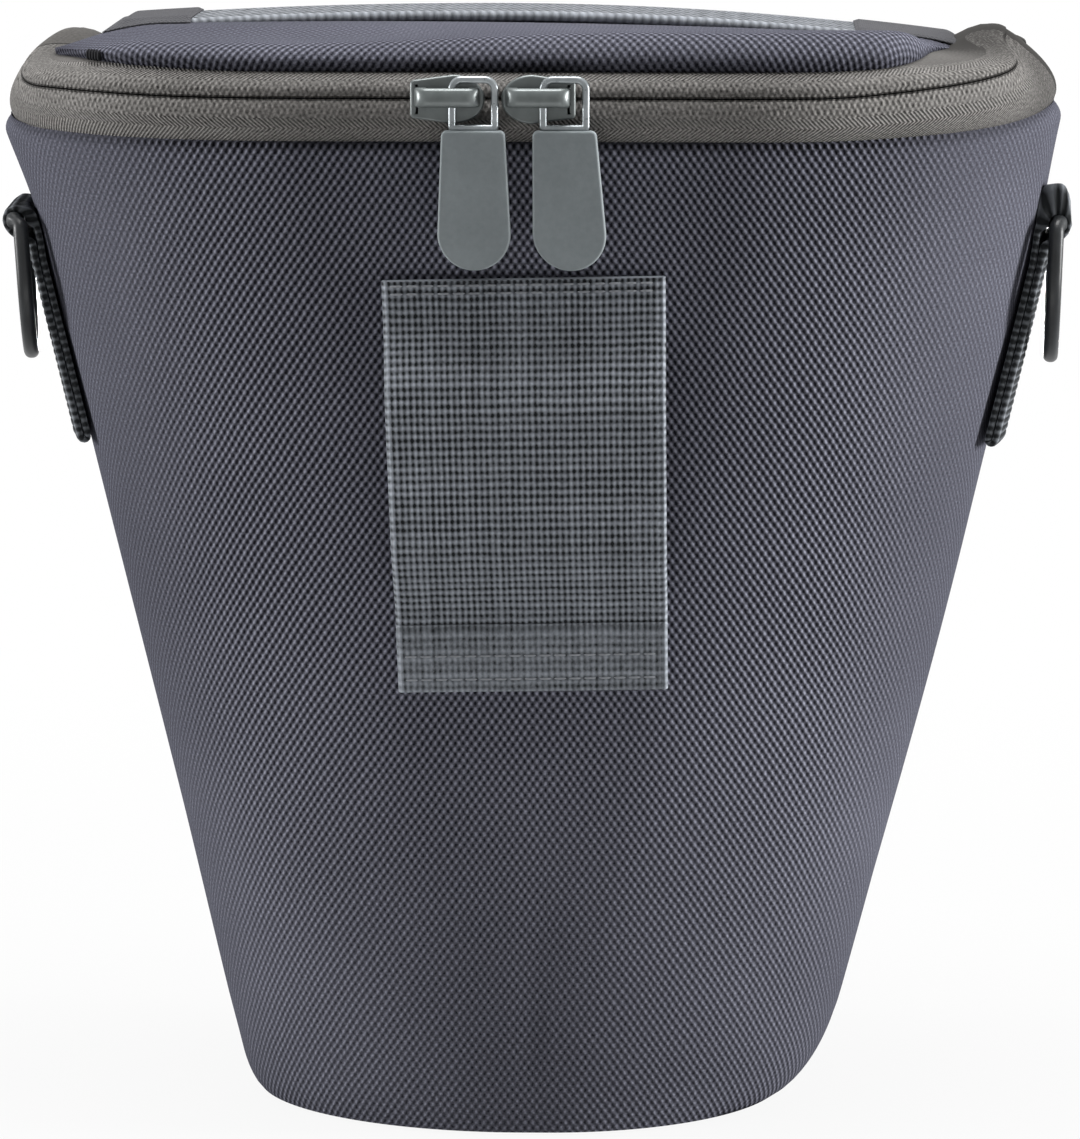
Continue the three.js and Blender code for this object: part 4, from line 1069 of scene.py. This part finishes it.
def buildRing(name, side, body, node):
    form = ringForm
    x, y, z = tabForm["bar"]
    half, leg, c = form["half"], form["leg"], form["corner"]
    flat = join(arc((c - half, -c), c, 180, 90, 9), arc((half - c, -c), c, 90, 0, 9),
                arc((0, -leg), (half, leg - form["drop"]), 0, 180, 49))
    turned = np.maximum(smooth(np.abs(flat[:, 0]), *form["turnAside"]), smooth(-flat[:, 1], *form["turnBelow"]))
    out = x + form["yaw"][side] * flat[:, 0] * turned + form["tilt"][side] * flat[:, 1]
    path = stack(side * out, y + flat[:, 0], z + flat[:, 1])
    section = roundSection(form["wide"], form["thick"], form["edge"], 5)
    makePiece(name, [flatRing(path, [1.0, 0.0, 0.0], section)], ringPlastic, body, (node,), 60)


# Hard finish: two tones mixed by a fine grain and a slow cloud; the grain also roughens it
def hardFinish(name, dark, light, roughness, metallic=0.0, scale=600.0, bump=0.000006, specular=0.5):
    finish, tree, shader = newFinish(name, roughness, metallic, specular)
    place = objectPlace(tree)
    grain = noise(place, scale, 3.0)
    tone = plus(times(grain, 0.5), times(noise(place, 90.0), 0.5))
    feed(ramp(tone, [(0.3, dark), (0.7, light)]), shader, "Base Color")
    feed(timesPlus(grain, 0.16, roughness - 0.08), shader, "Roughness")
    bumpTo(shader, grain, bump, 0.6)
    return finish


ringPlastic = hardFinish("ringPlastic", (0.010, 0.011, 0.012), (0.022, 0.024, 0.026), 0.38, specular=0.25)
sliderPaint = hardFinish("sliderPaint", (0.072, 0.082, 0.081), (0.112, 0.126, 0.126), 0.36, 0.35)
frameMetal = hardFinish("frameMetal", (0.16, 0.178, 0.186), (0.27, 0.29, 0.30), 0.3, 0.6)
pullPlastic = hardFinish("pullPlastic", (0.148, 0.166, 0.173), (0.181, 0.203, 0.210), 0.6, scale=900.0,
                         bump=0.00003, specular=0.15)
buildRing("ringLeft", -1, "ring_left", "d_ring_left")
buildRing("ringRight", 1, "ring_right", "d_ring_right")
print("rings")


def loopNormal(loop):  # outward normals of a closed flat loop
    after = np.roll(loop, -1, 0)
    ahead = unit(after - np.roll(loop, 1, 0))
    area = (loop[:, 0] * after[:, 1] - loop[:, 1] * after[:, 0]).sum()
    return stack(ahead[:, 1], -ahead[:, 0]) * np.sign(area)


# Slab with rounded edges: a loop [n, 2] in X and Z, drawn in along its normals row by row from near to far in Y.
# draws are more rows on both faces, which rise by crown over their first 4 mm, or sink where it is below 0
def slabShell(loop, near, far, radius, crown=0.0, steps=4, draws=()):
    turn = np.linspace(0, np.pi / 2, steps + 1)
    extra = np.array(draws, float)
    inset = join(extra[::-1] + radius, radius * (1 - np.sin(turn)), radius * (1 - np.cos(turn)), extra + radius)
    depth = join(near - crown * smooth(extra[::-1], 0, 4), near + radius * (1 - np.cos(turn)),
                 far - radius * (1 - np.sin(turn)), far + crown * smooth(extra, 0, 4))
    flat = loop - loopNormal(loop) * inset[:, None, None]
    return gridShell(stack(flat[..., 0], depth[:, None], flat[..., 1]), wrapCols=True, capRows=True)


def shifted(shell, *by):
    shell["points"] = shell["points"] + np.array(by)
    return shell


# Slider: outer plate with a round head, an inner plate behind the teeth on a web, a lip under the lower coil, and
# an arched bridge for the pull. Its own origin is on the tape's face at the line of the teeth
sliderForm = {"length": 13.0, "head": 4.3, "tail": 3.4, "tailCorner": 0.8, "neck": 1.0, "plate": (-1.55, -0.35),
              "inner": (3.25, 4.25), "innerHalf": 3.0, "web": 6.0, "webHalf": 0.3, "webDeep": (-0.9, 3.7),
              "lip": (-4.2, -3.5), "lipHalf": 5.5, "lipDeep": (1.2, 3.9),
              "bridge": 11.4, "wide": 3.4, "rise": 0.4, "top": -4.65, "foot": 2.2, "shoulder": 2.4, "wall": 1.1,
              "round": 0.42, "barrel": 0.6, "face": -64.2}


def sliderLoop(heading, half, tail):
    form = sliderForm
    end, c = form["length"] / 2, form["tailCorner"]
    head = arc((form["neck"], 0), (end - form["neck"], half), -90, 90, 33)
    up = mix(head[-1:], np.array([[c - end, tail]]), np.linspace(0, 1, 9)[1:, None])
    high = arc((c - end, tail - c), c, 90, 180, 5)[1:]
    loop = join(head, up, high, high[::-1] * [1, -1], up[::-1][:-1] * [1, -1])
    return loop * [heading, 1]


def bridgeLoop():  # seen from above: an arch on two feet with full round shoulders
    form = sliderForm
    half, foot, low, top, r = form["bridge"] / 2, form["foot"], -form["wall"], form["top"], form["shoulder"]
    left = arc((r - half, top + r), r, 180, 270, 9)
    inner = arc((half - foot - 0.5, top + form["wall"] + 0.5), 0.5, 0, -90, 5)
    return join([[-half, low]], left, (left * [-1, 1])[::-1], [[half, low], [half - foot, low]], inner,
                (inner * [-1, 1])[::-1], [[foot - half, low]])


def bridgeShell():  # the arch in levels, edges rounded and its outer face swelling to the middle like a barrel
    form = sliderForm
    loop = bridgeLoop()
    level = np.linspace(-1, 1, 25)[:, None]
    rounded = np.clip((np.abs(level) - 0.76) / 0.24, 0, 1)
    flat = loop - loopNormal(loop) * (form["round"] * (1 - np.sqrt(1 - rounded ** 2)))[..., None]
    y = flat[..., 1] + form["barrel"] * level ** 2 * smooth(-flat[..., 1], 2.4, 4.2)
    points = stack(flat[..., 0], y, form["rise"] + form["wide"] / 2 * level)
    return gridShell(points, wrapCols=True, capRows=True)


def boxLoop(x0, x1, z0, z1, radius=0.25):
    return roundedPath([(x0, z0), (x1, z0), (x1, z1), (x0, z1)], [radius] * 4, 3)


def buildSlider(name, heading, place, body, node):
    form = sliderForm
    outer = slabShell(sliderLoop(heading, form["head"], form["tail"]), *form["plate"], form["round"],
                      draws=(0.15, 0.5, 1.0))
    inner = slabShell(sliderLoop(heading, form["innerHalf"], form["innerHalf"]), *form["inner"], 0.3)
    ends = sorted((heading * form["neck"], heading * (form["neck"] - form["web"])))
    web = slabShell(boxLoop(*ends, -form["webHalf"], form["webHalf"], 0.1), *form["webDeep"], 0.08)
    half, (low, high) = form["lipHalf"], form["lip"]
    lip = slabShell(boxLoop(-half, half, low, high), *form["lipDeep"], 0.2)
    apron = slabShell(boxLoop(-half, half, low, 0), *form["inner"], 0.25)
    shells = [shifted(s, place, form["face"], zipLine) for s in (outer, inner, web, lip, apron, bridgeShell())]
    makePiece(name, shells, sliderPaint, body, (node,), 50)


# Pull: a flat wire frame round the bridge's foot, with a tongue down into a moulded tab with a raised rim
pullForm = {"inner": 3.075, "bow": 2.475, "wire": 1.3, "wireEdge": 0.5, "drop": 6.0,
            "corners": (0.4, 0.4, 1.7, 1.7), "tongue": (2.0, 9.0), "tongueHalf": 0.62, "top": 5.7, "bottom": 30.1,
            "topHalf": 5.6, "half": 6.4, "corner": 1.0, "thick": 2.6, "edge": 0.4, "sunk": -0.08,
            "draws": (0.2, 0.45, 0.65, 0.9, 1.6, 3.0), "forward": 0.45, "pivotY": -66.75, "foot": 4.6,
            "lean": {"left": 0.008, "right": 0.05}}


def buildPull(side, place, body):
    form = pullForm
    name = side.capitalize()
    at = (place + form["foot"], form["pivotY"], zipLine + sliderForm["rise"])
    wire = form["wire"]
    reach, high, low = form["inner"] + wire / 2, form["bow"] + wire / 2, wire / 2 - form["drop"]
    loop = roundedPath([(-reach, low), (reach, low), (reach, high), (-reach, high)], form["corners"])
    path = stack(loop[:, 0], 0.0, loop[:, 1])
    ring = flatRing(path, [0.0, -1.0, 0.0], roundSection(wire, wire, form["wireEdge"]))
    half, length = form["tongue"]
    tongueLoop = boxLoop(-half, half, -form["drop"] - length, -form["drop"] + 0.4)
    tongue = slabShell(tongueLoop, -form["tongueHalf"], form["tongueHalf"], 0.15)
    makePiece("pullFrame" + name, [shifted(s, *at) for s in (ring, tongue)], frameMetal, body,
              ("pull_frame_" + side,), 50)
    foot = arc((0, form["half"] - form["bottom"]), form["half"], 180, 360, 41)
    c = form["corner"]
    right = arc((form["topHalf"] - c, -form["top"] - c), c, 0, 90, 6)
    sides = mix(foot[-1:], right[:1], np.linspace(0, 1, 14)[1:-1, None])
    loop = join(foot, sides, right, (right * [-1, 1])[::-1], (sides * [-1, 1])[::-1])
    tab = slabShell(loop, -form["thick"] / 2, form["thick"] / 2, form["edge"], form["sunk"], 5, form["draws"])
    tab["points"][:, 0] -= form["lean"][side] * (tab["points"][:, 2] + form["top"])
    tab["points"][:, 1] -= form["forward"]
    makePiece("pullTab" + name, [shifted(tab, *at)], pullPlastic, body, ("pull_tab_" + side,), 50)


for side, heading, place in (("left", 1, -13.9), ("right", -1, 2.0)):
    buildSlider("slider" + side.capitalize(), heading, place, "slider_" + side, "zip_slider_" + side)
    buildPull(side, place, "pull_" + side)
print("sliders and pulls")


# Carry handle: ribbed webbing that lies along the lid in a flat arch and sinks into its padding at both ends, each
# under a patch. crown is the height of its underside, which sags more to the right
handleForm = {"ends": (-74.6, 73.1), "count": 420, "width": 25.0, "thick": 1.9, "middle": -5.5, "crown": 201.85,
              "peak": -8.0, "sag": (0.0005, 0.00078), "pitch": (1.65, 2.2), "knot": 0.06}


def buildHandle():
    form = handleForm
    x = np.linspace(*form["ends"], form["count"])
    path = stack(x, form["middle"], flatArch(x, form) + form["thick"] / 2)
    along = unit(np.gradient(path, axis=0))
    across = np.tile([0.0, 1.0, 0.0], (len(x), 1))
    outward = np.cross(along, across)
    shell = stripShell(path, across, outward, form["width"], form["thick"], form["pitch"], form["knot"])
    makePiece("carryHandle", [shell], handleWeb, "lid", ("carry_handle",), 70)


# Patch: cloth laid over the end of the handle and down to the lid on three sides, with a turned edge
patchForm = {"half": 15.6, "rows": 40, "cols": 44, "clear": 0.06, "rest": 0.1, "thin": 0.2, "thick": 0.4,
             "edge": 1.0, "strapSide": (11.8, 14.0), "strapEnd": (75.0, 77.6)}


def buildPatch(name, inner, outer, node):
    form, strap = patchForm, handleForm
    x = np.linspace(inner, outer, form["rows"])[:, None]
    across = np.linspace(-form["half"], form["half"], form["cols"])
    flat = stack(x, strap["middle"] + across)
    under = (1 - smooth(np.abs(across), *form["strapSide"])) * (1 - smooth(np.abs(x), *form["strapEnd"]))
    rest = lidTop(flat[..., 0], flat[..., 1]) + form["rest"]
    low = mix(rest, np.maximum(flatArch(x, strap) + strap["thick"] + form["clear"], rest), under)
    ends = np.minimum(np.abs(x - inner), np.abs(x - outer))
    edge = np.minimum(smooth(form["half"] - np.abs(across), 0, form["edge"]), smooth(ends, 0, form["edge"]))
    high = low + form["thin"] + form["thick"] * edge
    lower, upper = (stack(flat[..., 0], flat[..., 1], z) for z in (low, high))
    points = np.concatenate([upper, lower[:, ::-1]], 1)
    uv = closeCols(np.concatenate([flat, flat[:, ::-1]], 1))
    shell = gridShell(points, wrapCols=True, uv=uv, capRows=True)
    makePiece(name, [shell], patchCloth, "lid", (node,), 60)


handleWeb = webFinish("handleWeb", {**webLook, "light": (0.26, 0.275, 0.30), "half": 0.0125, "level": 0.42,
                                    "lift": 0.3, "pitch": (0.00165, 0.0044), "slant": 0.3})
patchCloth = clothFinish("patchCloth", (0.031, 0.031, 0.034), (0.07, 0.07, 0.076), 0.0008)
buildHandle()
buildPatch("handlePatchLeft", -79.0, -63.0, "handle_patch_left")
buildPatch("handlePatchRight", 58.0, 78.0, "handle_patch_right")
print("handle")


# Studio: pale floor that runs to a white background, a box on each side, one overhead, two low fills, and the
# photograph's camera. A lamp's values are its place, its aim, its width and height in metres, and its power
studio = {
    "distance": 1.1, "azimuth": 2.0, "elevation": 9.0, "aim": (0.0, 0.0, 0.098), "lens": 185.1, "floor": 6.0,
    "paper": (0.3, 0.3, 0.3, 1), "paperGlow": 0.92, "paperFade": (0.12, 0.5), "worldGlow": 0.02,
    "lamps": {
        "leftBox": ((-1.25, -0.10, 0.20), (0.0, 0.0, 0.08), 0.2, 0.6, 26.0),
        "rightBox": ((1.25, -0.10, 0.20), (0.0, 0.0, 0.08), 0.2, 0.6, 41.0),
        "topBox": ((0.0, -0.05, 1.2), (0.0, 0.0, 0.1), 0.7, 0.7, 26.5),
        "lowFill": ((0.0, -0.24, 0.016), (0.0, 0.0, 0.05), 0.3, 0.025, 0.18),
        "frontFill": ((0.0, 1.15, 0.06), (0.0, 0.0, 0.1), 0.6, 0.1, 13.0),
    },
}
white = (1, 1, 1, 1)


def plainRays(tree):  # 1 for what the camera sees, straight, mirrored or through something, else 0
    seen = tree.nodes.new("ShaderNodeLightPath").outputs
    straight = calc("MAXIMUM", seen["Is Camera Ray"], seen["Is Glossy Ray"])
    return calc("MAXIMUM", straight, seen["Is Transmission Ray"])


def standAt(item, at, away):  # puts a camera or lamp at a place, looking against the direction away
    bpy.context.scene.collection.objects.link(item)
    item.location = at
    item.rotation_euler = away.to_track_quat("Z", "Y").to_euler()


def buildWorld():
    scene = bpy.context.scene
    scene.view_settings.view_transform = "Standard"
    scene.world = bpy.data.worlds.new("studioWorld")
    scene.world.use_nodes = True
    tree = scene.world.node_tree
    back = tree.nodes["Background"]
    back.inputs["Color"].default_value = white
    feed(timesPlus(plainRays(tree), 1 - studio["worldGlow"], studio["worldGlow"]), back, "Strength")


def buildCamera():
    a, e = np.radians([studio["azimuth"], studio["elevation"]])
    away = Vector((np.sin(a) * np.cos(e), -np.cos(a) * np.cos(e), np.sin(e)))
    camera = bpy.data.objects.new("studioCamera", bpy.data.cameras.new("studioCamera"))
    standAt(camera, Vector(studio["aim"]) + away * studio["distance"], away)
    camera.data.lens = studio["lens"]
    camera.data.sensor_width = 36.0
    camera.data.clip_end = 50
    bpy.context.scene.camera = camera


def buildLamps():
    for name, (at, aim, wide, tall, power) in studio["lamps"].items():
        light = bpy.data.lights.new(name, "AREA")
        light.shape = "RECTANGLE"
        light.size = wide
        light.size_y = tall
        light.energy = power
        standAt(bpy.data.objects.new(name, light), at, Vector(at) - Vector(aim))


# Floor: glows white for the camera, a little less under the case, and reflects the lamps
def buildPaper():
    finish, tree, shader = newFinish("floorPaper", 0.9)
    shader.inputs["Base Color"].default_value = studio["paper"]
    glow = tree.nodes.new("ShaderNodeEmission")
    glow.inputs["Color"].default_value = white
    blend = tree.nodes.new("ShaderNodeMixShader")
    far = tree.nodes.new("ShaderNodeVectorMath")
    far.operation = "LENGTH"
    feed(objectPlace(tree), far, 0)
    least = studio["paperGlow"]
    share = timesPlus(ease(far.outputs["Value"], *studio["paperFade"]), 1 - least, least)
    feed(times(plainRays(tree), share), blend, 0)
    feed(shader.outputs[0], blend, 1)
    feed(glow.outputs[0], blend, 2)
    feed(blend.outputs[0], tree.nodes["Material Output"], "Surface")
    mesh = bpy.data.meshes.new("studioFloor")
    reach = studio["floor"]
    corners = [(-reach, -reach, 0), (reach, -reach, 0), (reach, reach, 0), (-reach, reach, 0)]
    mesh.from_pydata(corners, [], [(0, 1, 2, 3)])
    mesh.materials.append(finish)
    ground = bpy.data.objects.new("studioFloor", mesh)
    bpy.context.scene.collection.objects.link(ground)


buildWorld()
buildCamera()
buildLamps()
buildPaper()
print("studio")
